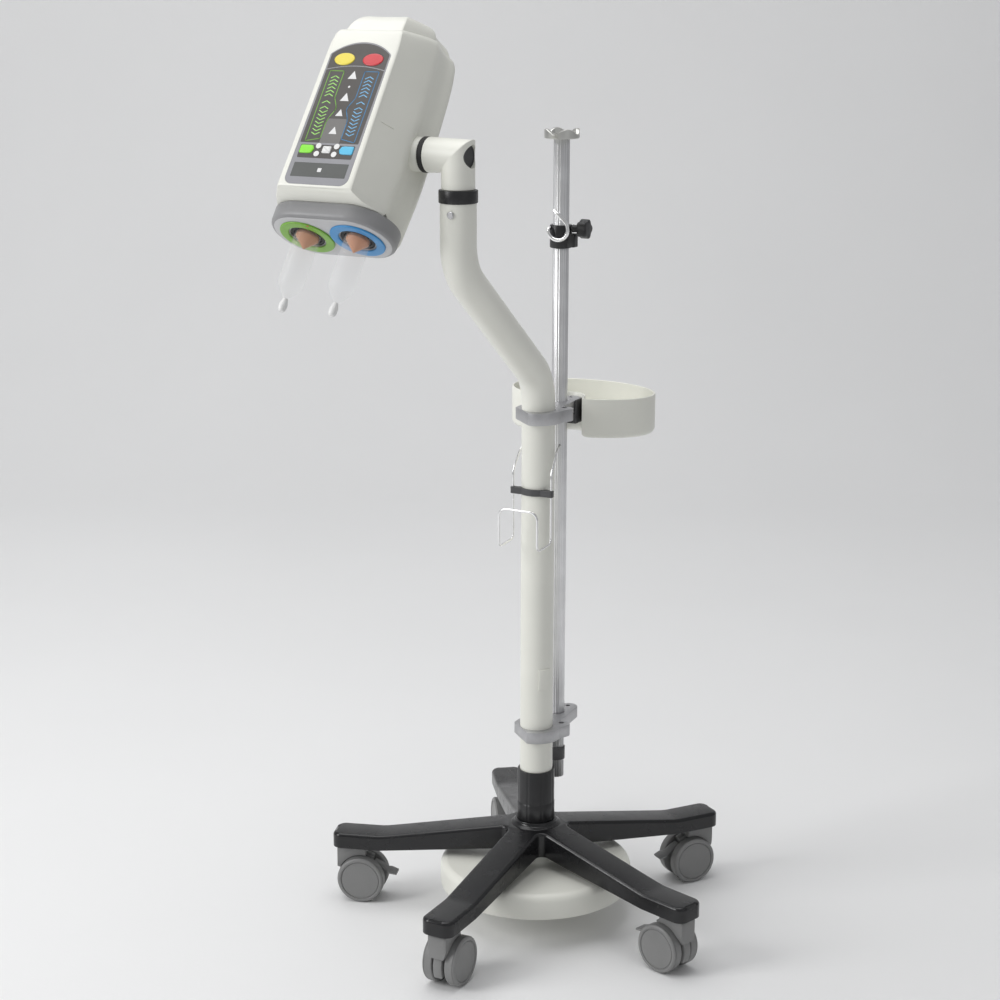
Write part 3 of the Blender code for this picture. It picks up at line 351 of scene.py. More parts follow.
def combined(bm, *steps):
    """Applies exact boolean steps ("UNION" or "DIFFERENCE", bmesh) to a bmesh and returns the result."""
    item = as_object("work", bm)
    tools = []
    for operation, tool in steps:
        tools.append(as_object("tool", tool))
        mod = item.modifiers.new(operation, "BOOLEAN")
        mod.operation = operation
        mod.object = tools[-1]
        mod.solver = "EXACT"
    bpy.context.view_layer.update()
    result = item.evaluated_get(bpy.context.evaluated_depsgraph_get()).to_mesh()
    out = bmesh.new()
    out.from_mesh(result)
    item.to_mesh_clear()
    for used in [item] + tools:
        bpy.data.objects.remove(used)
    return out


def piece(name, bm, place, body, look, stands_for=(), smooth=35.0, bevel=0.0):
    """Makes a finished piece from a bmesh drawn in the place's frame, and fixes it to a CAD body."""
    bm.transform(place)
    item = as_object(name, bm)
    item.data.materials.append(MATS[look])
    item.data.shade_smooth()
    item.data.set_sharp_from_angle(angle=math.radians(smooth))
    if bevel:
        add_bevel(item, bevel)
    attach(item, body)
    if stands_for:
        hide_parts(*stands_for)
    return item


def add_bevel(item, width, segments=2):
    mod = item.modifiers.new("bevel", "BEVEL")
    mod.width = width
    mod.segments = segments
    mod.limit_method = "ANGLE"
    mod.angle_limit = math.radians(35)
    mod.harden_normals = True


# ---------------------------------------------------------------- materials
class Finish:
    """A node material with colour mottling, roughness variation and bump, drawn in object space."""

    def __init__(self, name, color, rough, metal=0.0):
        self.mat = bpy.data.materials.new(name)
        self.mat.use_nodes = True
        self.tree = self.mat.node_tree
        self.shader = self.tree.nodes["Principled BSDF"]
        self.coords = self.tree.nodes.new("ShaderNodeTexCoord").outputs["Object"]
        self.color = color
        self.rough = rough
        self.shader.inputs["Metallic"].default_value = metal
        self.height = None

    def node(self, kind, **sockets):
        node = self.tree.nodes.new(kind)
        for key, value in sockets.items():
            node.inputs[key.replace("_", " ")].default_value = value
        return node

    def link(self, source, target):
        self.tree.links.new(source, target)

    def stretched(self, scale):
        mapping = self.node("ShaderNodeMapping")
        mapping.inputs["Scale"].default_value = scale
        self.link(self.coords, mapping.inputs["Vector"])
        return mapping.outputs["Vector"]

    def noise(self, scale, detail=3.0, stretch=(1.0, 1.0, 1.0), distortion=0.0):
        node = self.node("ShaderNodeTexNoise", Scale=scale, Detail=detail, Distortion=distortion)
        self.link(self.stretched(stretch), node.inputs["Vector"])
        return node.outputs["Fac"]

    def remap(self, source, low, high, start=0.3, end=0.7):
        node = self.node("ShaderNodeMapRange", From_Min=start, From_Max=end, To_Min=low, To_Max=high)
        self.link(source, node.inputs["Value"])
        return node.outputs["Result"]

    def mix(self, factor, first, second):
        node = self.node("ShaderNodeMix")
        node.data_type = "RGBA"
        self.link(factor, node.inputs["Factor"])
        for socket, value in ((node.inputs[6], first), (node.inputs[7], second)):
            if isinstance(value, tuple):
                socket.default_value = (*value, 1.0)
            else:
                self.link(value, socket)
        return node.outputs[2]

    def mottled(self, amount, scale=14.0, tint=None):
        """Broad, faint changes of shade, as dust and handling leave."""
        dark = tuple(c * (1.0 - amount) for c in (tint or self.color))
        light = tuple(min(1.0, c * (1.0 + amount)) for c in self.color)
        self.shade = self.mix(self.remap(self.noise(scale, 4.0), 0.0, 1.0), dark, light)
        return self

    def speckled(self, amount, scale, share=0.62):
        """Fine specks, darker than the ground."""
        dark = tuple(c * (1.0 - amount) for c in self.color)
        spots = self.remap(self.noise(scale, 2.0), 0.0, 1.0, share, share + 0.08)
        self.shade = self.mix(spots, self.shade, dark)
        return self

    def worn(self, color, scale=60.0, share=0.66, stretch=(1.0, 1.0, 0.25)):
        """Rubbed streaks where the finish has worn lighter."""
        rubs = self.remap(self.noise(scale, 5.0, stretch, 0.6), 0.0, 1.0, share, share + 0.10)
        self.shade = self.mix(rubs, self.shade, color)
        return self

    def grained(self, depth, scale, detail=2.0, stretch=(1.0, 1.0, 1.0)):
        """A bump of the given depth in metres."""
        bump = self.node("ShaderNodeBump", Strength=1.0, Distance=depth)
        self.link(self.noise(scale, detail, stretch), bump.inputs["Height"])
        if self.height:
            self.link(self.height, bump.inputs["Normal"])
        self.height = bump.outputs["Normal"]
        return self

    def done(self, spread=0.06, scale=40.0, stretch=(1.0, 1.0, 1.0), **sockets):
        """Connects everything; spread is how far the roughness wanders."""
        wander = self.remap(self.noise(scale, 5.0, stretch), self.rough - spread, self.rough + spread)
        self.link(wander, self.shader.inputs["Roughness"])
        self.link(self.shade, self.shader.inputs["Base Color"])
        if self.height:
            self.link(self.height, self.shader.inputs["Normal"])
        for key, value in sockets.items():
            self.shader.inputs[key.replace("_", " ")].default_value = value
        return self.mat


def plastic(name, color, rough, grain=0.00002, grain_scale=2600.0, mottle=0.04, spread=0.05, **sockets):
    made = Finish(name, color, rough).mottled(mottle).speckled(mottle * 1.5, 900.0)
    return made.grained(grain, grain_scale).grained(0.00002, 26.0).done(spread, **sockets)


def metal(name, color, rough, stretch=(1.0, 1.0, 1.0), grain=0.00002, scale=1500.0, mottle=0.08, spread=0.07):
    made = Finish(name, color, rough, 1.0).mottled(mottle, 22.0).speckled(mottle, 500.0, 0.66)
    return made.grained(grain, scale, 3.0, stretch).done(spread, 240.0, stretch)


def make_materials():
    cream = (0.80, 0.80, 0.735)
    mats = {
        "black_nylon": plastic("satin_black_nylon", (0.009, 0.009, 0.010), 0.24, 0.00001, 1800.0, 0.18, 0.07),
        "black_plastic": plastic("black_plastic", (0.018, 0.018, 0.019), 0.33, mottle=0.15),
        "dark_plastic": plastic("dark_grey_plastic", (0.070, 0.070, 0.073), 0.45, mottle=0.10),
        "caster_grey": plastic("caster_grey_nylon", (0.220, 0.220, 0.218), 0.44, 0.00004, 1500.0, 0.09, 0.08),
        "cream_paint": plastic("cream_powder_coat", cream, 0.34, 0.00005, 900.0, 0.018, 0.05),
        "cream_plastic": plastic("cream_moulded_plastic", cream, 0.36, 0.00003, 2200.0, 0.020, 0.05),
        "zinc_steel": metal("zinc_steel", (0.56, 0.56, 0.57), 0.34),
        "motor_steel": metal("motor_steel", (0.50, 0.50, 0.52), 0.36),
        "clamp_aluminium": metal("cast_aluminium", (0.52, 0.52, 0.53), 0.47, grain=0.00006, scale=800.0),
        "pole_aluminium": metal("drawn_aluminium", (0.74, 0.74, 0.75), 0.36, (1.0, 1.0, 0.02), 0.00003),
        "hook_steel": metal("cast_steel", (0.66, 0.66, 0.63), 0.36, grain=0.00005, scale=700.0),
        "chrome_wire": metal("bright_wire", (0.90, 0.90, 0.90), 0.20, spread=0.05, mottle=0.05),
        "band_grey": plastic("band_grey_plastic", (0.27, 0.27, 0.275), 0.42, mottle=0.05),
        "end_plate": plastic("end_plate_grey", (0.52, 0.52, 0.53), 0.38, mottle=0.04),
        "green_plastic": plastic("green_plastic", (0.19, 0.42, 0.045), 0.36, mottle=0.06),
        "blue_plastic": plastic("blue_plastic", (0.045, 0.26, 0.56), 0.36, mottle=0.06),
        "copper_plastic": plastic("copper_piston", (0.52, 0.205, 0.075), 0.40, mottle=0.10, Metallic=0.15),
        "white_plastic": plastic("white_plastic", (0.78, 0.78, 0.77), 0.36, mottle=0.02),
        "keypad_film": plastic("keypad_film", (0.28, 0.28, 0.30), 0.38, 0.000015, 3000.0, 0.05),
        "print_window": plastic("printed_window", (0.060, 0.054, 0.049), 0.34, 0.000015, 3000.0, 0.06),
        "panel_grey": plastic("film_middle_grey", (0.155, 0.150, 0.145), 0.36, 0.000015, 3000.0, 0.05),
        "bar_grey": plastic("film_dark_grey", (0.085, 0.090, 0.086), 0.36, 0.000015, 3000.0, 0.05),
        "yellow_key": plastic("yellow_key", (0.80, 0.66, 0.08), 0.30, mottle=0.04),
        "red_key": plastic("red_key", (0.60, 0.050, 0.060), 0.30, mottle=0.05),
        "green_key": plastic("green_key", (0.25, 0.78, 0.04), 0.30, mottle=0.05),
        "blue_key": plastic("blue_key", (0.10, 0.50, 0.76), 0.30, mottle=0.05),
        "print_white": plastic("printed_white", (0.75, 0.75, 0.75), 0.40, mottle=0.03),
        "print_green": plastic("printed_green", (0.16, 0.42, 0.03), 0.40, mottle=0.05),
        "print_lime": plastic("printed_light_green", (0.35, 0.72, 0.16), 0.40, mottle=0.05),
        "print_blue": plastic("printed_blue", (0.03, 0.20, 0.42), 0.40, mottle=0.05),
        "print_sky": plastic("printed_light_blue", (0.17, 0.45, 0.72), 0.40, mottle=0.05),
        "print_grey": plastic("printed_grey", (0.30, 0.30, 0.31), 0.40, mottle=0.05),
        "board_green": plastic("solder_mask", (0.03, 0.18, 0.07), 0.45, mottle=0.08),
        "rubber": plastic("black_rubber", (0.016, 0.016, 0.016), 0.60, 0.00005, 1200.0, 0.12),
    }
    clear = Finish("clear_plastic", (0.985, 0.99, 0.99), 0.04).mottled(0.01).grained(0.00001, 500.0)
    mats["clear_plastic"] = clear.done(0.02, 60.0, IOR=1.45, Alpha=0.09)
    return mats


MATS = make_materials()


# ---------------------------------------------------------------- star base and casters
def arm_spin(arm):
    """Turns a shape drawn along +X to the direction of one of the star's arms."""
    return Matrix.Rotation(math.radians(STAR_FIRST_ANGLE + 360.0 / STAR_ARMS * arm), 4, "Z")


def arm_top(u):
    if u >= ARM_CREASE + 0.010:
        return ARM_TIP_Z
    slope = (ARM_HUB_Z - ARM_TIP_Z) / (ARM_CREASE - 0.040)
    if u > ARM_CREASE - 0.010:
        return ARM_TIP_Z + slope * (ARM_CREASE + 0.010 - u) ** 2 / 0.040
    return ARM_TIP_Z + slope * (ARM_CREASE - max(u, 0.040))


def arm_bottom(u):
    share = (ARM_CREASE - u) / (ARM_CREASE - 0.050)
    return ARM_BOTTOM_Z + (ARM_HUB_BOTTOM_Z - ARM_BOTTOM_Z) * min(max(share, 0.0), 1.0)


def arm_side():
    """Plan points (u, v) of one side of an arm from the web to the tip."""
    half_step = math.radians(180.0 / STAR_ARMS)
    reach = (ARM_HALF + WEB_RADIUS) / math.sin(half_step)
    center = (reach * math.cos(half_step), ARM_HALF + WEB_RADIUS)
    points = arc(center, WEB_RADIUS, 180.0 + 180.0 / STAR_ARMS, 270.0, 8)
    points += [(0.09 + 0.0147 * i, ARM_HALF) for i in range(10)]
    points += [(ARM_CREASE + 0.005 * i, ARM_HALF) for i in range(-1, 3)]
    points += arc((ARM_END - ARM_CORNER, ARM_HALF - ARM_CORNER), ARM_CORNER, 90.0, 0.0, 8)
    return points


def pulled_in(points, distance):
    """Moves the arm's side points inwards, square to the run of the outline."""
    half_step = math.radians(180.0 / STAR_ARMS)
    moved = [(points[0][0] - math.cos(half_step) * distance, points[0][1] - math.sin(half_step) * distance)]
    for before, here, after in zip(points, points[1:], points[2:] + [None]):
        run = Vector((0.0, -1.0)) if after is None else (Vector(after) - Vector(before)).normalized()
        moved.append((here[0] + run.y * distance, here[1] - run.x * distance))
    return moved


def build_star():
    side = arm_side()
    steps = 5
    levels = []
    for k in range(steps + 1):
        angle = math.pi / 2.0 * k / steps
        levels.append((pulled_in(side, ARM_ROUND * (1.0 - math.cos(angle))),
                       ARM_ROUND * (1.0 - math.sin(angle))))
    tops = [arm_top(u) for u, v in levels[-1][0]]
    bm = bmesh.new()
    for arm in range(STAR_ARMS):
        spin = arm_spin(arm)
        rows = []
        for i, (u, v) in enumerate(side):
            left = [(u, v, arm_bottom(u))]
            left += [(points[i][0], points[i][1], tops[i] - drop) for points, drop in levels]
            right = [(x, -y, z) for x, y, z in reversed(left)]
            rows.append([bm.verts.new(spin @ Vector(p)) for p in left + right])
        count = len(rows[0])
        for low, high in zip(rows, rows[1:]):
            for i in range(count):
                j = (i + 1) % count
                bm.faces.new((low[i], low[j], high[j], high[i]))
        bm.faces.new(rows[-1])
    bmesh.ops.remove_doubles(bm, verts=bm.verts[:], dist=0.00001)
    bmesh.ops.holes_fill(bm, edges=[e for e in bm.edges if e.is_boundary], sides=0)
    hub = softened([(0.038, HUB_BOTTOM_Z), (0.040, HUB_BOTTOM_Z + 0.002), (0.040, 0.1500), (0.0345, 0.1525),
                    (HUB_RING_R + 0.0008, 0.1545), (HUB_RING_R, HUB_RING_Z), (HUB_RING_R - 0.002,
                        HUB_RING_Z)], 0.002)
    steps = [("UNION", turn([(0.0, HUB_BOTTOM_Z)] + hub + [(0.0, HUB_RING_Z)], 64))]
    holes = rod(TUBE_R + GAP, TUBE_FOOT_Z - GAP, 0.20, 64)
    hollow = [(0.078, 0.08), (0.268, 0.08), (0.268, 0.0985), (0.240, 0.1020), (0.078, 0.1240)]
    for arm in range(STAR_ARMS):
        spin = arm_spin(arm)
        room = prism(hollow, 0.0055 - ARM_HALF, ARM_HALF - 0.0055, "Y")
        rod(0.0061, 0.085, 0.1093, 24, Matrix.Translation((TIP_RADIUS, 0.0, 0.0)), room)
        room.transform(spin)
        joined(holes, room)
    steps.append(("DIFFERENCE", holes))
    piece("star_moulding", combined(bm, *steps), MAIN, "stand", "black_nylon", ["star_base"], 28)


def build_column():
    """Fluted hub sleeve and counterweight disc, with a hole and recess for the disc's bolt."""
    count = 120
    rings = []
    shape = ((1.000, HUB_RING_Z + GAP), (1.018, HUB_RING_Z + 0.0010), (1.018, SLEEVE_STEP_Z - 0.0002),
             (1.012, SLEEVE_STEP_Z), (1.004, SLEEVE_STEP_Z + 0.0002), (1.0, SLEEVE_STEP_Z + 0.0006),
             (1.0, SLEEVE_TOP_Z - 0.0006), (0.99, SLEEVE_TOP_Z))
    for scale, height in shape:
        ring = []
        for x, y in circle(SLEEVE_R * scale, count):
            across = abs((math.degrees(math.atan2(y, x)) + 22.5) % 45.0 - 22.5)
            depth = 0.0008 * max(0.0, 1.0 - across / 3.5)
            ring.append((x * (1.0 - depth / SLEEVE_R), y * (1.0 - depth / SLEEVE_R), height))
        rings.append(ring)
    for height in (SLEEVE_TOP_Z, HUB_RING_Z + GAP):
        rings.append([(x, y, height) for x, y in circle(TUBE_R + GAP, count)])
    piece("fluted_sleeve", loft(bmesh.new(), rings, closed=True), MAIN, "stand", "black_plastic",
          ["hub_sleeve"], 50)

    low, high = WEIGHT_Z
    edge = arc((WEIGHT_R - WEIGHT_ROUND, high - WEIGHT_ROUND), WEIGHT_ROUND, 0.0, 90.0, 14)
    boss = softened([(0.044, high), (0.0375, high + 0.0025), (0.0360, HUB_BOTTOM_Z - 0.001),
                     (0.0355, HUB_BOTTOM_Z - GAP),
                     (0.0065, HUB_BOTTOM_Z - GAP)], 0.003)
    profile = [(0.0065, low + 0.010), (0.013, low + 0.010), (0.013, low), (WEIGHT_R - 0.003, low),
               (WEIGHT_R - 0.0009, low + 0.0009), (WEIGHT_R, low + 0.003)] + edge + boss
    piece("counterweight_disc", turn(profile, 128, closed=True), MAIN, "stand", "cream_paint",
          ["counterweight"], 40)


def wheel_mesh():
    """Twin wheels: rounded tyre edges, a thin groove and a flat, slightly sunk disc."""
    half = [(0.0, -WHEEL_OUT + 0.0010), (0.0295, -WHEEL_OUT + 0.0010), (0.0302, -WHEEL_OUT + 0.0018),
            (0.0309, -WHEEL_OUT + 0.0018), (0.0315, -WHEEL_OUT + 0.0004)]
    half += arc((0.0335, -WHEEL_OUT + 0.0040), 0.0040, 250.0, 360.0, 8)
    half += [(WHEEL_R, -0.0240), (WHEEL_R, -WHEEL_IN - 0.0022)]
    half += arc((WHEEL_R - 0.0020, -WHEEL_IN - 0.0020), 0.0020, 0.0, 90.0, 4)
    half += [(0.0120, -WHEEL_IN), (AXLE_R, -WHEEL_IN)]
    return half + [(r, -h) for r, h in reversed(half)]


def housing_mesh():
    """Hood, V-shaped tongue between the wheels, and stem, round the swivel axis."""
    axle = (-CASTER_TRAIL, WHEEL_R)
    body = arc(axle, 0.0392, -26.0, 118.0, 28) + arc(axle, 0.0110, 160.0, 300.0, 12)
    bm = prism(body, -0.0070, 0.0070, "Y", edge=0.0014)
    top = ARM_BOTTOM_Z - 0.0022
    rings = []
    for side, foot, front in ((-0.0150, 44.0, 0.0150), (-0.0147, 40.0, 0.0160), (-0.0128, 30.0, 0.0168),
                              (-0.0108, 22.0, 0.0172), (0.0108, 22.0, 0.0172), (0.0128, 30.0, 0.0168),
                              (0.0147, 40.0, 0.0160), (0.0150, 44.0, 0.0150)):
        under = arc(axle, 0.0388, foot, 100.0, 12)
        corner = arc((front - 0.004, top - 0.004), 0.004, 90.0, 0.0, 4)
        outline = under + [(-0.0270, top)] + corner + [(front, under[0][1] + 0.001)]
        rings.append([(x, side, z) for x, z in outline])
    hood = loft(bmesh.new(), rings)
    hole = rod(AXLE_R + GAP, -0.03, 0.03, 24, along((0, 1, 0), (axle[0], 0.0, axle[1])))
    return combined(bm, ("UNION", hood), ("UNION", rod(0.0058, 0.080, 0.1088, 24)), ("DIFFERENCE", hole))


def brake_mesh():
    sections = [(-0.0428, 0.0612, 0.0035, 0.0078), (-0.0540, 0.0562, 0.0030, 0.0078),
                (-0.0628, 0.0500, 0.0020, 0.0080), (-0.0668, 0.0485, 0.0018, 0.0122),
                (-0.0700, 0.0477, 0.0017, 0.0125), (-0.0790, 0.0455, 0.0015, 0.0103)]
    rings = []
    for x, z, h, w in sections:
        rings.append([(x, px, z + pz) for px, pz in rounded_rect(w, h, h * 0.85, 4)])
    return loft(bmesh.new(), rings)


def build_casters():
    for arm in range(STAR_ARMS):
        place = MAIN @ arm_spin(arm) @ Matrix.Translation((TIP_RADIUS, 0.0, 0.0))
        label = "caster_" + str(arm + 1)
        for kind, bm, body in (("hood", housing_mesh(), label), ("pedal", brake_mesh(), label + "_brake")):
            node = label + ("_housing" if kind == "hood" else "_brake")
            piece(label + "_" + kind, bm, place, body, "caster_grey", [node], 40)
        wheels = turn(wheel_mesh(), 72, along((0, 1, 0), (-CASTER_TRAIL, 0.0, WHEEL_R)))
        piece(label + "_tyres", wheels, place, label + "_wheels", "caster_grey",
              [label + "_wheels"], 40)


# ---------------------------------------------------------------- tube, clamps and pole
def build_tube():
    corners = [(0.0, 0.0, TUBE_FOOT_Z), (0.0, 0.0, BEND_LOW_Z), (0.0, -HEAD_REACH, BEND_HIGH_Z),
               (0.0, -HEAD_REACH, TUBE_TOP_Z)]
    path = rounded_path(corners, (BEND_RADIUS, BEND_RADIUS), 20)
    rings = sweep_rings(path, TUBE_R, 72) + sweep_rings(path, TUBE_R - TUBE_WALL, 72)[::-1]
    piece("column_tube", loft(bmesh.new(), rings, closed=True), MAIN, "stand", "cream_paint",
          ["main_tube"], 50)
    rings = []
    inner_r = TUBE_R + GAP
    middle = -90.0 + 55.0
    for height, swell in ((0.3762, 0.0004), (0.3768, 0.0018), (0.3780, 0.0020), (0.4072, 0.0020),
                          (0.4084, 0.0018),
                          (0.4090, 0.0004)):
        outer_arc = arc((0.0, 0.0), inner_r + swell, middle - 21.0, middle + 21.0, 16)
        inner_arc = arc((0.0, 0.0), inner_r, middle + 22.0, middle - 22.0, 16)
        rings.append([(x, y, height) for x, y in outer_arc + inner_arc])
    piece("blanking_plug", loft(bmesh.new(), rings), MAIN, "stand", "cream_plastic",
          ["tube_plug"], 40)
    piece("collar_ring", bushing(0.0271, 0.0187, *COLLAR_Z, 0.0012), PAN, "stand", "black_plastic",
          ["top_collar"], 40)


def clamp_outline():
    front = arc((-0.0352, -0.0020), 0.0020, 190.0, 235.0, 4) + [(0.0020, -0.0376)]
    front += arc((0.0, 0.0), 0.0376, -78.0, 6.0, 22)
    lobe = arc((0.0345, 0.0242), 0.0105, -15.0, 110.0, 18)
    notch = [(0.0235, 0.0375), (0.0225, 0.0450)]
    rear = [(0.0232, 0.0560), (0.0218, 0.0780), (0.0200, 0.1010)]
    end = arc((0.0060, 0.1020), 0.0140, 0.0, 150.0, 18)
    back = [(-0.0165, 0.0950), (-0.0205, 0.0780), (-0.0215, 0.0600), (-0.0285, 0.0350), (-0.0372, 0.0120)]
    return front + lobe + notch + rear + end + back


def build_clamps():
    for name, heights in (("lower_clamp", CLAMP_LOW_Z), ("upper_clamp", CLAMP_HIGH_Z)):
        low, high = heights
        body = prism(clamp_outline(), low, high, edge=0.0012)
        holes = rod(TUBE_R + GAP, low - 0.01, high + 0.01, 64)
        rod(IV_R + GAP, low - 0.01, high + 0.01, 40, Matrix.Translation((0.0, IV_Y, 0.0)), holes)
        rod(0.0042, low - 0.01, high + 0.01, 24, Matrix.Translation((0.0300, 0.0270, 0.0)), holes)
        rod(0.0036, low - 0.01, high + 0.01, 24, Matrix.Translation((0.0045, 0.1030, 0.0)), holes)
        piece(name + "_casting", combined(body, ("DIFFERENCE", holes)), MAIN, "stand", "clamp_aluminium",
              [name], 30)


def build_pole():
    rings = []
    grooves = 16
    for height, scale in ((IV_Z[0], 0.97), (IV_Z[0] + 0.0004, 1.0), (IV_Z[1] - 0.0004, 1.0), (IV_Z[1], 0.97)):
        ring = []
        for x, y in circle(1.0, 128):
            phase = (math.degrees(math.atan2(y, x)) * grooves / 360.0) % 1.0
            depth = 0.0006 * max(0.0, 1.0 - abs(phase - 0.5) / 0.28)
            radius = (IV_R - depth) * scale
            ring.append((x * radius, IV_Y + y * radius, height))
        rings.append(ring)
    piece("fluted_pole", loft(bmesh.new(), rings), MAIN, "stand", "pole_aluminium",
          ["iv_pole"], 60)
    at_pole = Matrix.Translation((0.0, IV_Y, 0.0))
    piece("end_sleeve", bushing(IV_R + 0.0014, IV_R + GAP, 0.2321, 0.2525, 0.0005, 64, at_pole), MAIN,
          "stand",
          "dark_plastic", ["pole_end_sleeve"], 40)
    low = IV_Z[1] + GAP
    rings = []
    shape = ((0.0130, 0.0), (0.0250, 0.0), (0.0262, 0.0008), (HOOK_PLATE_R, 0.0030), (HOOK_PLATE_R, None),
             (0.0256, None), (0.0222, None), (0.0210, None), (0.0195, 0.0058), (0.0180, 0.0050))
    for k, (radius, height) in enumerate(shape):
        ring = []
        for i in range(144):
            angle = 2.0 * math.pi * i / 144
            lift = 0.5 - 0.5 * math.cos(4.0 * angle)
            top = 0.0062 + 0.0082 * lift ** 0.7 - (0.0005 if k in (4, 7) else 0.0)
            ring.append((radius * math.cos(angle), IV_Y + radius * math.sin(angle),
                         low + (top if height is None else height)))
        rings.append(ring)
    piece("pronged_plate", loft(bmesh.new(), rings), MAIN, "stand", "hook_steel", ["hook_plate"], 50)


def build_hook():
    at_pole = Matrix.Translation((0.0, IV_Y, 0.0))
    knob_axis = along((1, 0, 0), (0.0, IV_Y, KNOB_Z))
    collar = bushing(0.0168, IV_R + GAP, 1.0468, 1.0815, 0.0016, 72, at_pole)
    ear = prism(rounded_rect(0.0085, 0.0075, 0.003, 6, (0.0175, IV_Y - 0.001)), 1.0490, 1.0690, edge=0.0008)
    socket = rod(0.0052, IV_R + 0.001, 0.0172, 32, knob_axis)
    bore = rod(IV_R + GAP, 1.0, 1.12, 48, at_pole)
    rod(0.0036, 0.0, 0.0300, 24, along((1, 0, 0), (0.0150, IV_Y, KNOB_Z)), bore)
    tail = rod(LOOP_R + GAP, 0.0, 0.0158, 24, along((0, 1, 0), (LOOP_TAIL[0], 0.0450, LOOP_TAIL[1])))
    body = combined(collar, ("UNION", ear), ("UNION", socket), ("DIFFERENCE", bore), ("DIFFERENCE", tail))
    piece("sliding_collar", body, MAIN, "pole_hook", "black_plastic", ["hook_collar"], 35)

    ring = arc((0.005, 1.0769), 0.0165, 35.0, -160.0, 40)
    path = [Vector((-0.0030, LOOP_Y, 1.1050)), Vector((0.0065, LOOP_Y, 1.0975))]
    path += [Vector((x, LOOP_Y, z)) for x, z in ring]
    corner = Vector((LOOP_TAIL[0], LOOP_Y, LOOP_TAIL[1]))
    end = Vector((LOOP_TAIL[0], 0.0603, LOOP_TAIL[1]))
    path += rounded_path([path[-1], corner, end], (0.0042,), 10)[1:]
    piece("pigtail_hook", wire(path, LOOP_R), MAIN, "pole_hook", "chrome_wire", ["hook_loop"], 50)

    stem = [(0.0, 0.0156), (0.0032, 0.0156), (0.0032, 0.0199), (0.0058, 0.0199), (0.0048, 0.0314),
            (0.0, 0.0314)]
    lobes = []
    for i in range(90):
        angle = 2.0 * math.pi * i / 90
        radius = 0.0135 + 0.0015 * math.cos(5.0 * angle)
        lobes.append((radius * math.cos(angle), radius * math.sin(angle)))
    rings = []
    for scale, reach in ((0.84, 0.0312), (0.93, 0.0315), (0.985, 0.0322), (1.0, 0.0334), (1.0, 0.0434),
                         (0.975, 0.0448), (0.91, 0.0456), (0.80, 0.0459)):
        rings.append([knob_axis @ Vector((x * scale, y * scale, reach)) for x, y in lobes])
    knob = combined(turn(stem, 32, knob_axis), ("UNION", loft(bmesh.new(), rings)))
    piece("lobed_knob", knob, MAIN, "hook_knob", "black_plastic", ["hook_knob"], 35)


# ---------------------------------------------------------------- tray and bottle holder
def tray_ring(inset, height):
    wide, deep = TRAY_A - inset, TRAY_B - inset
    notch = NOTCH_R + inset
    reach = 0.1215 + inset
    start = math.degrees(math.acos(notch * 1.32 / wide))
    outline = []
    for i in range(97):
        angle = math.radians(-start + (180.0 + 2.0 * start) * i / 96)
        outline.append((wide * math.cos(angle), TRAY_Y + deep * math.sin(angle)))
    outline += arc((0.0, reach - notch + 0.0015), notch, 180.0, 0.0, 28)
    return [(x, y, height) for x, y in outline]


def build_tray():
    low, high = TRAY_Z
    rings = [tray_ring(0.008 - 0.008 * math.sin(a), low + 0.008 - 0.008 * math.cos(a))
             for a in [math.pi / 2.0 * k / 6 for k in range(7)]]
    rings += [tray_ring(0.0, high - 0.0010), tray_ring(0.0004, high - 0.0002), tray_ring(0.0012, high),
              tray_ring(TRAY_WALL - 0.0008, high), tray_ring(TRAY_WALL, high - 0.0008)]
    rings += [tray_ring(TRAY_WALL + 0.005 - 0.005 * math.cos(a), low + 0.008 - 0.005 * math.sin(a))
              for a in [math.pi / 2.0 * k / 5 for k in range(6)]]
    piece("kidney_tray", loft(bmesh.new(), rings), MAIN, "stand", "cream_plastic", ["tray"], 40)
    plate = [(0.0248, 0.0780), (0.0248, 0.0975)] + arc((0.0, 0.0970), 0.0238, 5.0, 175.0, 36)
    plate += [(-0.0248, 0.0975), (-0.0248, 0.0780)]
    room = rod(IV_R + GAP, 0.7, 0.85, 48, Matrix.Translation((0.0, IV_Y, 0.0)))
    lobe = [(-0.0226, 0.0700), (0.0226, 0.0700), (0.0226, 0.1300), (-0.0226, 0.1300)]
    body = combined(prism(plate, 0.7775, 0.8140), ("DIFFERENCE", room),
                    ("DIFFERENCE", prism(lobe, CLAMP_HIGH_Z[0] - GAP, 0.83)))
    piece("tray_saddle", body, MAIN, "stand", "dark_plastic", ["tray_bracket"], 35, 0.0006)


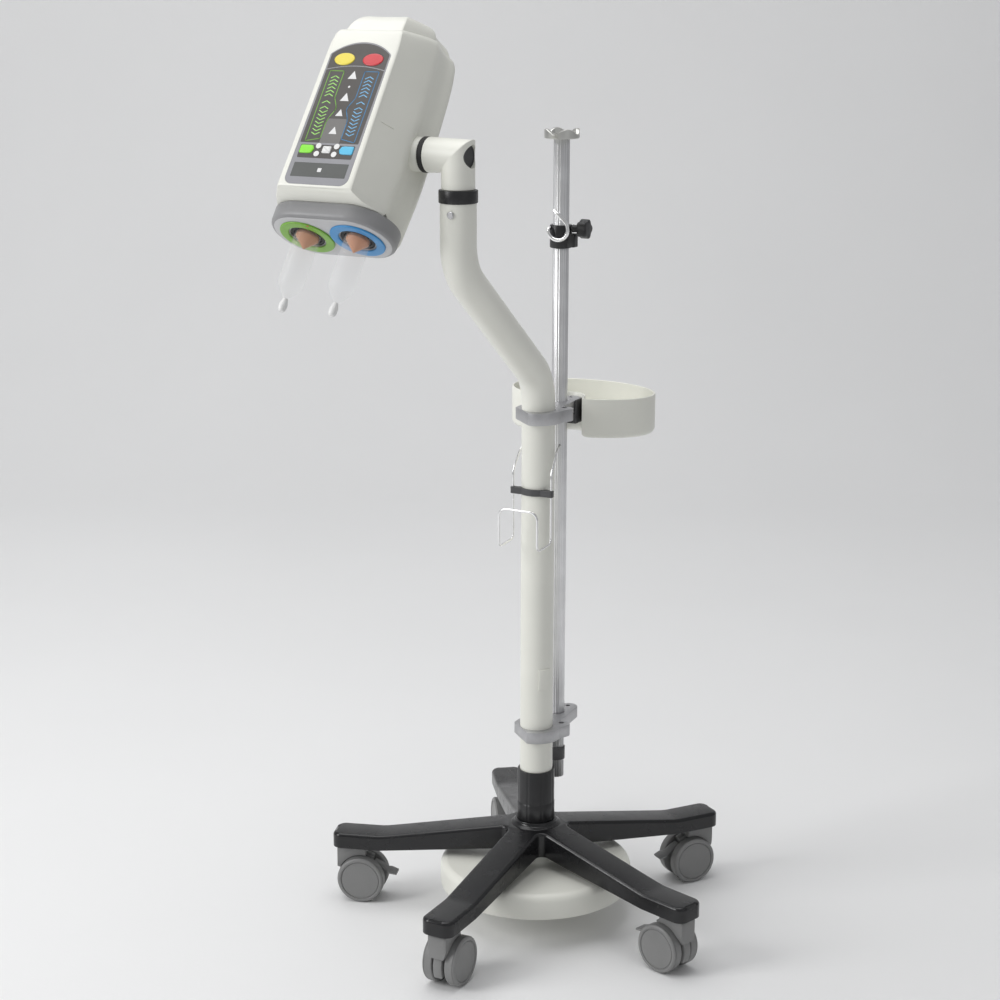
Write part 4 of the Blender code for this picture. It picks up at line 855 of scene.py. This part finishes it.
def build_holder():
    half = [(0.0272, 0.0180, 0.7570), (0.0300, 0.0, 0.7480), (WIRE_X, WIRE_Y, 0.7200),
            (WIRE_X, WIRE_Y, 0.6125),
            (WIRE_X, -0.0660, 0.6100), (WIRE_X, -0.0660, 0.6700)]
    left = [(-x, y, z) for x, y, z in half]
    radii = (0.010, 0.030, 0.008, 0.009, 0.012, 0.012, 0.009, 0.008, 0.030, 0.010)
    path = rounded_path(left + half[::-1], radii, 10)
    piece("bottle_wire", wire(path, WIRE_R, 16), MAIN, "stand", "chrome_wire", ["wire_holder"], 60)
    inner = TUBE_R + GAP
    front = arc((0.0, 0.0), inner, -146.0, -34.0, 40)
    around = arc((0.0, 0.0), inner + 0.0034, -57.0, -123.0, 24)
    outer = [(0.0262, -0.0160), (0.0342, -0.0160), (0.0350, -0.0168), (0.0350, -0.0230), (0.0335, -0.0245),
             (0.0225, -0.0245)] + around
    outer += [(-0.0225, -0.0245), (-0.0335, -0.0245), (-0.0350, -0.0230), (-0.0350, -0.0168),
              (-0.0342, -0.0160),
              (-0.0262, -0.0160)]
    holes = bmesh.new()
    for side in (-1.0, 1.0):
        rod(WIRE_R + GAP, 0.67, 0.71, 20, Matrix.Translation((side * WIRE_X, WIRE_Y, 0.0)), holes)
    body = combined(prism(front + outer, *STRAP_Z), ("DIFFERENCE", holes))
    piece("holder_strap", body, MAIN, "stand", "dark_plastic", ["wire_strap"], 30, 0.0005)


# ---------------------------------------------------------------- elbow arm
def build_elbow():
    """A mitred elbow: down into the collar, and along -X to the tilt joint."""
    count = 96
    radius = 0.0232
    low = COLLAR_Z[1] + GAP
    turned = circle(1.0, count)
    rings = [[(0.0184 * c, 0.0184 * s, 1.1080) for c, s in turned],
             [(0.0184 * c, 0.0184 * s, low) for c, s in turned],
             [((radius - 0.0008) * c, (radius - 0.0008) * s, low) for c, s in turned],
             [(radius * c, radius * s, low + 0.0008) for c, s in turned]]
    for pull in (0.0040, 0.0018, 0.0006):
        rings.append([(radius * c, radius * s, ARM_AXIS_Z + radius * c - pull) for c, s in turned])
    for pull in (0.0006, 0.0018, 0.0040):
        rings.append([(radius * c - pull, radius * s, ARM_AXIS_Z + radius * c - pull * 0.1) for c,
                      s in turned])
    rings.append([(-0.0436, 0.0243 * s, ARM_AXIS_Z + 0.0243 * c) for c, s in turned])
    elbow = combined(loft(bmesh.new(), rings),
                     ("DIFFERENCE", rod(0.0160, 0.0152, 0.05, 64, along((1, 0, 0), (0.0, 0.0, ARM_AXIS_Z)))))
    piece("elbow_casting", elbow, PAN, "arm", "cream_paint", ["elbow_arm"], 40)
    cap = softened([(0.0157, 0.0155), (0.0157, 0.0169), (0.0135, 0.0169), (0.0120, 0.0164),
                    (0.0105, 0.0164)], 0.0006)
    piece("elbow_plug",
          turn([(0.0, 0.0155)] + cap + [(0.0, 0.0164)], 64, along((1, 0, 0), (0.0, 0.0, ARM_AXIS_Z))),
          PAN, "arm", "black_plastic", ["arm_end_cap"], 40)
    ring = softened([(0.0200, 0.0439), (0.0240, 0.0439), (0.0246, 0.0447), (0.0246, 0.0512), (0.0240, 0.0520),
                     (0.0200, 0.0520)], 0.0006)
    piece("tilt_gasket",
          turn([(0.0, 0.0439)] + ring + [(0.0, 0.0520)], 96, along((-1, 0, 0), (0.0, 0.0, ARM_AXIS_Z))),
          PAN, "arm", "rubber", ["tilt_ring"], 40)


# ---------------------------------------------------------------- injector head
HEAD_TOP = ((-0.0810, 0.1500), (-0.0740, 0.1530), (-0.0390, 0.1655), (-0.0110, 0.1728), (0.0100, 0.1730),
            (0.0250, 0.1700), (0.0500, 0.1590), (0.0850, 0.1380))
HEAD_CROWN = ((-0.0810, 0.1780), (-0.0650, 0.1880), (-0.0500, 0.1920), (-0.0200, 0.1970), (0.0100, 0.1960),
              (0.0300, 0.1880), (0.0600, 0.1690), (0.0850, 0.1520))
HEAD_BOTTOM = ((-0.0810, -0.1070), (-0.0785, -0.1092), (-0.0620, -0.1138), (0.0300, -0.1142),
               (0.0480, -0.1300),
               (0.0850, -0.1320))
HEAD_FLARE = spline(((0.0, 0.990), (0.2, 1.030), (0.4, 1.040), (0.6, 1.016), (0.8, 0.982), (0.9, 0.950),
                     (1.0, 0.915)), 4)
CROWN_STEPS = ((1.0, 0.0), (0.95, 0.36), (0.86, 0.68), (0.73, 0.88), (0.50, 0.98), (0.25, 1.0))


def head_section(share):
    """Half of the head's cross-section at a share of its height: (x, y) from front middle to back middle."""
    low, high = 1.0 - share, share
    front = 0.0590 * low + 0.0560 * high - 0.0045 * max(0.0, (share - 0.82) / 0.18) ** 2
    flare = interpolate(HEAD_FLARE, share)
    back = 0.0600 + 0.0180 * math.sin(math.pi * min(1.0, share * 1.15)) ** 0.8
    side = 0.0885 * flare
    valley = 0.0800 + 0.86 * (side - 0.0885)
    flat = [(0.0, FACE), (front * 0.5, FACE)]
    corner = spline([(front - 0.0040, FACE), (front - 0.0008, FACE + 0.0012), (front + 0.0012, FACE + 0.0046),
                     (front * 0.55 + side * 0.45 - 0.0005, -0.0560)], 3)[:-1]
    flank = spline([(front * 0.55 + side * 0.45 - 0.0005, -0.0560), (side - 0.0065, -0.0345),
                    (side - 0.0035, -0.0225), (valley, -0.0060), (valley + 0.0010, 0.0120), (side,
                        0.0250)], 3)
    rear = spline([(side, 0.0283), (side - 0.0060, 0.0400), (side * 0.72, back * 0.86), (side * 0.38, back),
                   (0.0, back * 1.01)], 4)
    return flat + [tuple(p) for p in corner + flank + rear]


def head_ring(share, shrink=0.0, drop=0.0, wall=0.0):
    """A full ring of the head; shrink pulls it in all round, drop lowers it, wall makes it an inner ring."""
    half = head_section(share)
    ring = []
    for x, y in half + [(-x, y) for x, y in half[-2:0:-1]]:
        low, high = interpolate(HEAD_BOTTOM, y), interpolate(HEAD_TOP, y)
        pull = (shrink + wall) / max(math.hypot(x, y), 0.02)
        ring.append((HEAD_X + x * (1.0 - pull), y * (1.0 - pull), low + (high - low) * share - drop))
    return ring


def crown_ring(reach, rise, wall):
    ring = []
    for x, y, z in head_ring(1.0, shrink=0.0110, drop=wall, wall=wall):
        top = interpolate(HEAD_CROWN, y * reach) - wall
        ring.append((HEAD_X + (x - HEAD_X) * reach, y * reach, z + (top - z) * rise))
    return ring


def strip_cap(bm, row):
    """Closes a ring that is symmetric left to right with strips across it."""
    count = len(row)
    bm.faces.new((row[0], row[1], row[-1]))
    for i in range(1, count // 2 - 1):
        bm.faces.new((row[i], row[i + 1], row[count - i - 1], row[count - i]))
    middle = count // 2
    bm.faces.new((row[middle - 1], row[middle], row[middle + 1]))


def head_solid(wall=0.0):
    """The closed outer form of the head, or with a wall the form of the space inside it."""
    rings = [head_ring(0.0, shrink=0.0040, wall=wall, drop=-wall)]
    if wall == 0.0:
        rings += [head_ring(0.0, shrink=0.0012, drop=-0.0008), head_ring(0.0, drop=-0.0030)]
    rings += [head_ring(0.05 * i, wall=wall) for i in range(1, 19)]
    for share, shrink, fall in ((0.95, 0.0006, 0.4), (0.968, 0.0017, 0.7), (0.985, 0.0040, 1.0),
                                (0.996, 0.0075, 1.0)):
        rings.append(head_ring(share, wall=wall, shrink=shrink, drop=wall * fall))
    steps = spline([(reach, rise) for reach, rise in CROWN_STEPS], 3)
    rings += [crown_ring(reach, rise, wall) for reach, rise in steps]
    bm = loft(bmesh.new(), rings, caps=False)
    bm.verts.ensure_lookup_table()
    count = len(rings[0])
    strip_cap(bm, bm.verts[:count])
    strip_cap(bm, bm.verts[-count:])
    return bm


def box(low, high):
    outline = [(low[0], low[1]), (high[0], low[1]), (high[0], high[1]), (low[0], high[1])]
    return prism(outline, low[2], high[2])


def stadium(radius, count=96):
    """Two half circles round the syringe axes, joined by straight runs."""
    right = arc((HEAD_X + 0.040, 0.0), radius, -90.0, 90.0, count // 2)
    left = arc((HEAD_X - 0.040, 0.0), radius, 90.0, 270.0, count // 2)
    return right + left


def panel_outline(grow=0.0):
    """The keypad's outline on the face (x, z): straight sides, an arched top and round bottom corners."""
    bottom, top, crown = -0.1035 - grow, 0.1040, 0.1234 + grow
    low_half, top_half = 0.0499 + grow, 0.0479 + grow
    corner = 0.012 + grow
    points = arc((low_half - corner, bottom + corner), corner, -90.0, -5.0, 12)
    radius = (top_half ** 2 + (crown - top) ** 2) / (2.0 * (crown - top))
    spread = math.degrees(math.asin(top_half / radius))
    points += softened([(low_half - 0.0004, 0.0)] + arc((0.0, crown - radius), radius, 90.0 - spread, 90.0,
                                                        18)[:3],
                       0.004)[1:-1] + arc((0.0, crown - radius), radius, 90.0 - spread, 90.0, 18)[3:]
    mirrored = [(-x, z) for x, z in reversed(points[:-1])]
    return [(HEAD_X + x, z) for x, z in points + mirrored]


def side_slots():
    """Two short slots that lie on the slanted faces beside the keypad."""
    slots = bmesh.new()
    for side in (-1.0, 1.0):
        slot = prism(rounded_rect(0.0103, 0.0006, 0.0005, 3), -0.0010, 0.0060)
        along_face = Vector((0.56, side * 0.83, 0.0)).normalized()
        out = Vector((side * 0.83, -0.56, 0.0)).normalized()
        place = Matrix((along_face, (0.0, 0.0, 1.0), out)).transposed().to_4x4()
        place.translation = (HEAD_X + side * 0.0680, -0.0630, 0.0040)
        slot.transform(place)
        joined(slots, slot)
    return slots


def build_shells():
    boss = [(0.0240, 0.0800), (0.0235, 0.0600), (0.0235, 0.0533), (0.0232, 0.0527), (0.0225, 0.0523),
            (0.0, 0.0523)]
    pocket = prism(panel_outline(GAP), FACE - 0.01, FACE + PANEL_DEPTH + GAP, "Y")
    rear_half = box((HEAD_X - 0.2, PARTING_Y, -0.3), (HEAD_X + 0.2, 0.2, 0.3))
    front_half = box((HEAD_X - 0.2, -0.2, -0.3), (HEAD_X + 0.2, PARTING_Y + GAP, 0.3))
    opening, seat = stadium(0.0500), stadium(PLATE_R + GAP)
    stages = ((seat, -0.20), (seat, PLATE_Z[1] + GAP), (opening, PLATE_Z[1] + GAP), (opening, -0.1080))
    mouth = loft(bmesh.new(), [[(x, y, height) for x, y in outline] for outline, height in stages])
    front = combined(head_solid(), ("UNION", turn(boss, 96, along((-1, 0, 0)))), ("DIFFERENCE", pocket),
                     ("DIFFERENCE", mouth.copy()), ("DIFFERENCE", side_slots()),
                     ("DIFFERENCE", head_solid(SHELL_WALL)), ("DIFFERENCE", rear_half))
    piece("front_housing", front, HEAD, "head", "cream_plastic", ["head_front_shell"], 38)
    rear = combined(head_solid(), ("DIFFERENCE", mouth),
                    ("DIFFERENCE", head_solid(SHELL_WALL)), ("DIFFERENCE", front_half))
    piece("rear_housing", rear, HEAD, "head", "cream_plastic", ["head_rear_shell"], 38)


def build_plate():
    """The grey band, its light end plate, coloured rings and the metal and rubber seats inside them."""
    low, high = PLATE_Z
    band = ((0.0050, low + 0.0008), (0.0022, low + 0.0019), (0.0006, low + 0.0040), (0.0, low + 0.0070),
            (0.0, high - 0.0004), (0.0006, high))
    plate = ((0.0062, low), (0.0056, low + 0.0002), (0.0052, low + 0.0008))
    for name, profile, mat in (("grey_band", band, "band_grey"), ("end_plate", plate, "end_plate")):
        rings = [[(x, y, height) for x, y in stadium(PLATE_R - pull)] for pull, height in profile]
        holes = bmesh.new()
        for side in (-1.0, 1.0):
            at = Matrix.Translation((HEAD_X + side * SYRINGE_X, 0.0, 0.0))
            rod(SEAT_R, low - 0.01, high + 0.01, 64, at, holes)
        body = combined(loft(bmesh.new(), rings), ("DIFFERENCE", holes))
        piece(name, body, HEAD, "head", mat, ["syringe_plate"], 35)
    for color, side in (("green", -1.0), ("blue", 1.0)):
        at = Matrix.Translation((HEAD_X + side * SYRINGE_X, 0.0, 0.0))
        ring = softened([(0.0270, low - GAP), (0.0266, low - 0.0010), (0.0275, low - 0.0026),
                         (0.0386, low - 0.0026),
                         (RING_OUT_R, low - 0.0018), (RING_OUT_R, low - GAP)], 0.0006)
        piece(color + "_bezel", turn(ring, 96, at, closed=True), HEAD, "head", color + "_plastic",
              [color + "_ring"], 40)
        piece(color + "_seat", bushing(0.0260, 0.0251, low + 0.0004, low + 0.0134, 0.0003, 64, at), HEAD,
              "head",
              "zinc_steel")
        piece(color + "_seal", bushing(0.0249, 0.0199, low + 0.0006, low + 0.0028, 0.0005, 64, at), HEAD,
              "head",
              "rubber")
    mark = prism(rounded_rect(0.0016, 0.0010, 0.0004, 3, (HEAD_X - 0.0220, -0.0335)), low - 0.0028,
                 low - 0.0020)
    piece("index_mark", mark, HEAD, "head", "red_key")


def build_syringes():
    low = PLATE_Z[0]
    for label, side in (("left", -1.0), ("right", 1.0)):
        x = HEAD_X + side * SYRINGE_X
        at = Matrix.Translation((x, 0.0, 0.0))
        barrel = [(0.0177, low + 0.0060), (0.0248, low + 0.0060), (0.0248, low + 0.0035),
                  (0.0195, low + 0.0030),
                  (0.0187, low + 0.0022), (0.0187, -0.2140), (0.0178, -0.2165), (0.0075, -0.2312), (0.0050,
                      -0.2338),
                  (0.0034, -0.2358), (0.0030, -0.2430), (0.0019, -0.2430), (0.0021, -0.2350), (0.0040,
                      -0.2326),
                  (0.0068, -0.2300), (0.0170, -0.2155), (0.0177, -0.2132)]
        piece("barrel_" + label, turn(barrel, 80, at, closed=True), HEAD, "syringe_" + label,
              "clear_plastic", ["syringe_" + label], 60)
        tip = softened([(0.0036, -0.2366), (0.0058, -0.2440), (0.0060, -0.2500), (0.0048, -0.2545),
                        (0.0022, -0.2560)], 0.0015)
        bore = [(0.0, -0.2437), (0.0033, -0.2437), (0.0033, -0.2366)]
        piece("luer_cap_" + label, turn(bore + tip + [(0.0, -0.2560)], 40, at), HEAD, "syringe_" + label,
              "white_plastic", ["syringe_tip_" + label], 50)
        rubber = softened([(0.0004, -0.1588), (0.0165, -0.1415), (0.0165, -0.1360), (0.0120, -0.1340),
                           (0.0095, -0.1330), (0.0095, -0.0700)], 0.0008)
        piece("piston_" + label, turn([(0.0, -0.1590)] + rubber + [(0.0, -0.0700)], 64, at), HEAD,
              "plunger_" + label,
              "copper_plastic", ["plunger_" + label], 40)


# ---------------------------------------------------------------- keypad
def strip(path, width, closed=False):
    """Outlines of the short quads that make a line of a given width along a path."""
    quads = []
    points = path + [path[0]] if closed else path
    for start, end in zip(points, points[1:]):
        run = (Vector(end) - Vector(start)).normalized()
        over = run * width * 0.35
        across = Vector((-run.y, run.x)) * width / 2.0
        a, b = Vector(start) - over, Vector(end) + over
        quads.append([tuple(p) for p in (a - across, b - across, b + across, a + across)])
    return quads


def printed(name, outlines, look, depth=PRINT_DEPTH, holes=None):
    """Thin raised prints on the keypad, given as outlines (a, c) round the middle of the face."""
    bm = bmesh.new()
    for outline in outlines:
        points = [(HEAD_X + x, z) for x, z in outline]
        prism(points, FACE - depth, FACE + PRINT_FOOT, "Y", bm)
    if holes:
        bm = combined(bm, ("DIFFERENCE", holes.copy()))
    piece(name, bm, HEAD, "head", look)


def centred(outline):
    return [(x - HEAD_X, z) for x, z in outline]


def column_outline(side):
    """Outline round a column of chevrons: straight outside, stepped on the inside round the icons."""
    points = [(0.0390, 0.0763), (0.0165, 0.0763), (0.0165, 0.0330), (0.0090, 0.0190), (0.0090, 0.0135),
              (0.0150, 0.0010), (0.0165, -0.0060), (0.0165, -0.0316), (0.0390, -0.0364)]
    rounded = softened([points[-1]] + points + [points[0]], 0.0022, 4)[1:-1]
    return [(side * x, z) for x, z in rounded]


def chevron(side, z, up, half=0.0062, rise=0.0034):
    tip = z + (rise if up else -rise) / 2.0
    wing = z - (rise if up else -rise) / 2.0
    return strip([(side * 0.0273 - half, wing), (side * 0.0273, tip), (side * 0.0273 + half, wing)], 0.0013)


def icon(z, size, up=True):
    """A filled triangle, its tip up or down."""
    half = 0.0069 * size
    base, tip = (z - 0.0130 * size, z) if up else (z, z - 0.0130 * size)
    shape = [(-half, base), (half, base), (0.0, tip)]
    return [shape]


def oval(half_x, half_z, at, count=56):
    return [(at[0] + half_x * c, at[1] + half_z * s) for c, s in circle(1.0, count)]


def key_outline(side):
    x = 0.031
    points = [(x - 0.0112, -0.0490), (x - 0.0085, -0.0545), (x - 0.0040, -0.0554), (x + 0.0096, -0.0554),
              (x + 0.0112, -0.0540), (x + 0.0112, -0.0440), (x + 0.0096, -0.0426), (x - 0.0040, -0.0426),
              (x - 0.0085, -0.0435)]
    closed = softened([points[-1]] + points + [points[0]], 0.0012, 3)[1:-1]
    return [(side * px, pz) for px, pz in closed]


def build_keypad():
    shapes = {
        "yellow": (oval(0.0160, 0.0098, (-0.0226, 0.0955)), "yellow_key"),
        "red": (oval(0.0160, 0.0098, (0.0226, 0.0955)), "red_key"),
        "green": (key_outline(-1.0), "green_key"),
        "blue": (key_outline(1.0), "blue_key"),
        "white": (rounded_rect(0.0067, 0.0054, 0.0018, 5, (0.0, -0.0490)), "white_plastic"),
    }
    holes = bmesh.new()
    for name, (shape, mat) in shapes.items():
        prism([(HEAD_X + x, z) for x, z in offset(shape, GAP)], FACE - 0.01, FACE + 0.02, "Y", holes)
        rings = []
        for grow, depth in ((-0.0022, -0.00115), (-0.0011, -0.0011), (-0.0004, -0.0008), (0.0, -0.0004),
                            (0.0, 0.0014)):
            rings.append([(HEAD_X + x, FACE + depth, z) for x, z in offset(shape, grow)])
        piece(name + "_keycap", loft(bmesh.new(), rings), HEAD, "button_" + name, mat,
              ["button_" + name], 50)
    sheet = prism(panel_outline(), FACE, FACE + PANEL_DEPTH, "Y")
    piece("keypad_sheet", combined(sheet, ("DIFFERENCE", holes.copy())), HEAD, "head", "keypad_film",
          ["keypad_panel"], 35)
    inner = centred(panel_outline(-0.0020))
    window = [(x, z) for x, z in inner if z > WINDOW_LOW + 0.002]
    half = max(x for x, z in window)
    window += [(-half, WINDOW_LOW + 0.001), (-half + 0.001, WINDOW_LOW), (half - 0.001, WINDOW_LOW),
               (half, WINDOW_LOW + 0.001)]
    printed("main_window", [window], "print_window", GROUND_DEPTH, holes=holes)
    key_row = rounded_rect(0.0430, 0.0105, 0.0020, 5, (0.0, -0.0521))
    printed("key_row_ground", [key_row], "print_window", GROUND_DEPTH, holes=holes)
    centre = [(-0.0158, WINDOW_LOW), (0.0158, WINDOW_LOW), (0.0158, -0.0060), (0.0140, 0.0000),
              (-0.0140, 0.0000),
              (-0.0158, -0.0060)]
    printed("centre_ground", [centre], "panel_grey", 0.00011)
    printed("column_frame_green", strip(column_outline(-1.0), 0.0011, True), "print_green")
    printed("column_frame_blue", strip(column_outline(1.0), 0.0011, True), "print_blue")
    heights = [(0.0664 - 0.0058 * i, True) for i in range(6)] + [(0.0261, True), (0.0171, True)]
    heights += [(0.0163 - 0.0058 * (i + 1), False) for i in range(7)]
    for side, mat in ((-1.0, "print_lime"), (1.0, "print_sky")):
        marks = []
        for z, up in heights:
            marks += chevron(side, z, up)
        printed("chevrons_" + mat[6:], marks, mat)
    marks = icon(0.0769, 1.0) + icon(0.0415, 1.0) + icon(0.0155, 0.85) + icon(-0.0123, 0.9)
    marks += [oval(0.0017, 0.0017, (0.0, 0.0512), 20)]
    printed("icon_marks", marks, "print_white", 0.00020)
    divider = [(x, 0.0847 - 0.0061 * (x / 0.0455) ** 2) for x in [-0.0455 + 0.0065 * i for i in range(15)]]
    printed("divider_arc", strip(divider, 0.0013), "print_grey")
    small = [oval(0.0042, 0.0042, (x, z), 28) for x, z in ((-0.0143, -0.0435), (0.0143, -0.0435),
                                                           (-0.0138, -0.0559), (0.0138, -0.0559))]
    printed("small_round_keys", small, "white_plastic", 0.0006)
    printed("lower_bar", [rounded_rect(0.0430, 0.0110, 0.0008, 5, (0.0, -0.0810))], "bar_grey", 0.00012)
    printed("lower_light", [rounded_rect(0.0030, 0.0030, 0.0006, 3, (0.0, -0.0809))], "print_white", 0.00030)


# ---------------------------------------------------------------- CAD nodes that keep their shape
KEPT = {
    "counterweight_bolt": "zinc_steel", "collar_screw": "zinc_steel", "lower_clamp_screw": "zinc_steel",
    "upper_clamp_screw": "zinc_steel", "drive_unit_left": "motor_steel", "drive_unit_right": "motor_steel",
    "circuit_board": "board_green",
}


def dress_kept_nodes():
    for name, mat in KEPT.items():
        node = frame["nodes"][name]
        node.data.materials.clear()
        node.data.materials.append(MATS[mat])


# ---------------------------------------------------------------- stage, light and camera
def build_stage():
    """A pale floor that sweeps up into a backdrop behind the object, seen from the camera."""
    bm = bmesh.new()
    profile = [(-9.0, 0.0), (2.6, 0.0)] + arc((2.6, 1.6), 1.6, -90.0, 0.0, 24)[1:] + [(4.2, 7.0)]
    away = Vector((-0.465, 0.885, 0.0))
    side = Vector((0.885, 0.465, 0.0))
    rows = []
    for reach, height in profile:
        middle = away * reach + Vector((0.0, 0.0, height))
        rows.append([bm.verts.new(middle - side * 9.0), bm.verts.new(middle + side * 9.0)])
    for low, high in zip(rows, rows[1:]):
        bm.faces.new((low[0], low[1], high[1], high[0]))
    item = as_object("studio_sweep", bm)
    item.data.shade_smooth()
    paper = Finish("paper_sweep", (0.86, 0.86, 0.86), 0.75).mottled(0.012, 1.2)
    item.data.materials.append(paper.grained(0.0002, 120.0).done(0.05, 6.0))


def area_light(name, at, aim, size, power, color=(1.0, 1.0, 1.0)):
    light = bpy.data.lights.new(name, "AREA")
    light.shape = "RECTANGLE"
    light.size, light.size_y = size
    light.energy = power
    light.color = color
    item = bpy.data.objects.new(name, light)
    item.location = at
    item.rotation_euler = (Vector(aim) - Vector(at)).to_track_quat("-Z", "Y").to_euler()
    bpy.context.collection.objects.link(item)


def build_lights():
    area_light("overhead", (-0.8, 0.0, 4.2), (0.0, 0.0, 0.0), (3.5, 3.5), 78.0)
    area_light("left_key", (-2.6, -2.9, 2.4), (0.0, 0.0, 0.8), (1.6, 2.4), 84.0)
    area_light("right_fill", (3.4, -1.6, 2.0), (0.0, 0.0, 0.6), (2.0, 3.0), 4.0)
    world = bpy.data.worlds.new("studio")
    world.use_nodes = True
    world.node_tree.nodes["Background"].inputs["Color"].default_value = (0.97, 0.98, 1.0, 1.0)
    world.node_tree.nodes["Background"].inputs["Strength"].default_value = 0.36
    bpy.context.scene.world = world
    bpy.context.scene.view_settings.view_transform = "Standard"


def build_camera():
    camera = bpy.data.cameras.new("camera")
    camera.lens = 76.04
    camera.sensor_width = 36.0
    item = bpy.data.objects.new("camera", camera)
    forward = Vector((-0.45059, 0.85785, -0.24711))
    roll = Matrix.Rotation(math.radians(0.12), 4, "Z")
    item.matrix_world = Matrix.Translation((1.39126, -2.70666, 1.46254)) @ forward.to_track_quat(
        "-Z", "Y").to_matrix().to_4x4() @ roll
    bpy.context.collection.objects.link(item)
    bpy.context.scene.camera = item


build_star()
build_column()
build_casters()
build_tube()
build_clamps()
build_pole()
build_hook()
build_tray()
build_holder()
build_elbow()
build_shells()
build_plate()
build_syringes()
build_keypad()
dress_kept_nodes()
build_stage()
build_lights()
build_camera()
bpy.context.view_layer.update()
